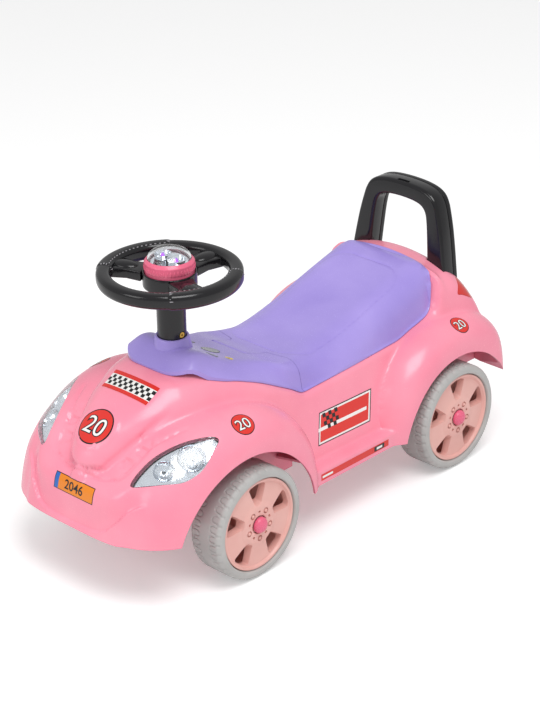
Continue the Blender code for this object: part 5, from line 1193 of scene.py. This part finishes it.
keptFinishes = {
    "steel": ["seat_hinge_pin", "steering_rod", "beam_pin", "steering_washer", "button_spring", "front_axle",
              "rear_axle"]
             + [f"{end}_{side}_push_nut" for end in ("front", "rear") for side in ("left", "right")]
             + [f"tray_screw_{i}" for i in range(1, 5)] + ["handle_screw_1", "handle_screw_2"],
    "brass": ["column_bolt", "column_nut"],
    "pink": ["underbody_tray"],
    "under": ["front_axle_beam", "storage_bin", "battery_case"],
    "board": ["circuit_board"],
}
for finishName, nodes in keptFinishes.items():
    for nodeName in nodes:
        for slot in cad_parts[nodeName].material_slots:
            slot.material = finishes[finishName]
print("kept nodes finished")


# Floor, light and camera

def studio():
    floor = meshFrom([(-4, -4, 0), (4, -4, 0), (4, 4, 0), (-4, 4, 0)], [(0, 1, 2, 3)], "floor")
    paper = bpy.data.materials.new("mattWhitePaper")
    paper.use_nodes = True
    tree = paper.node_tree
    shader = tree.nodes["Principled BSDF"]
    shader.inputs["Base Color"].default_value = linear("F7F7F7")
    shader.inputs["Roughness"].default_value = 0.9
    rays = addNode(tree, "ShaderNodeLightPath")
    glow = addNode(tree, "ShaderNodeEmission", {"Color": (1, 1, 1, 1), "Strength": 0.28})
    dark = addNode(tree, "ShaderNodeEmission", {"Color": (0, 0, 0, 1), "Strength": 0.0})
    seen = addNode(tree, "ShaderNodeMixShader",
                   {0: rays.outputs["Is Camera Ray"], 1: dark.outputs[0], 2: glow.outputs[0]})
    both = addNode(tree, "ShaderNodeAddShader", {0: shader.outputs[0], 1: seen.outputs[0]})
    tree.links.new(both.outputs[0], tree.nodes["Material Output"].inputs["Surface"])
    floor.materials.append(paper)
    linked("floor", floor)

    world = bpy.data.worlds.new("whiteStudio")
    bpy.context.scene.world = world
    world.use_nodes = True
    tree = world.node_tree
    back = tree.nodes["Background"]
    rays = addNode(tree, "ShaderNodeLightPath")
    seen = addNode(tree, "ShaderNodeMath", {0: rays.outputs["Is Camera Ray"], 1: rays.outputs["Is Transmission Ray"]},
                   operation="MAXIMUM")
    strength = addNode(tree, "ShaderNodeMapRange", {"Value": seen.outputs[0], "To Min": 0.55, "To Max": 1.0})
    back.inputs["Color"].default_value = (1, 1, 1, 1)
    tree.links.new(strength.outputs[0], back.inputs["Strength"])

    for name, place, aim, size, power in (("keyLight", (0.9, -0.5, 2.3), (0, 0, 0.1), 1.3, 32),
                                          ("frontLight", (-0.5, -2.2, 1.3), (0, 0, 0.15), 1.0, 9)):
        lamp = bpy.data.lights.new(name, "AREA")
        lamp.size, lamp.energy = size, power
        holder = linked(name, lamp)
        holder.location = place
        holder.rotation_euler = (Vector(aim) - Vector(place)).to_track_quat("-Z", "Y").to_euler()


view = {"place": (1.6105, -1.6565, 1.2902), "azimuth": 43.868, "elevation": 25.774, "roll": -0.8603, "lens": 107.5}


def camera():
    a, e, r = (math.radians(view[name]) for name in ("azimuth", "elevation", "roll"))
    back = Vector((math.sin(a) * math.cos(e), -math.cos(a) * math.cos(e), math.sin(e)))
    right = Vector((math.cos(a), math.sin(a), 0))
    up = back.cross(right)
    across, above = right * math.cos(r) + up * math.sin(r), up * math.cos(r) - right * math.sin(r)
    data = bpy.data.cameras.new("camera")
    data.lens, data.sensor_width = view["lens"], 36
    holder = linked("camera", data)
    holder.matrix_world = Matrix.Translation(view["place"]) @ Matrix((across, above, back)).transposed().to_4x4()
    bpy.context.scene.camera = holder


studio()
camera()
bpy.context.scene.view_settings.view_transform = "Standard"
print("studio ready")
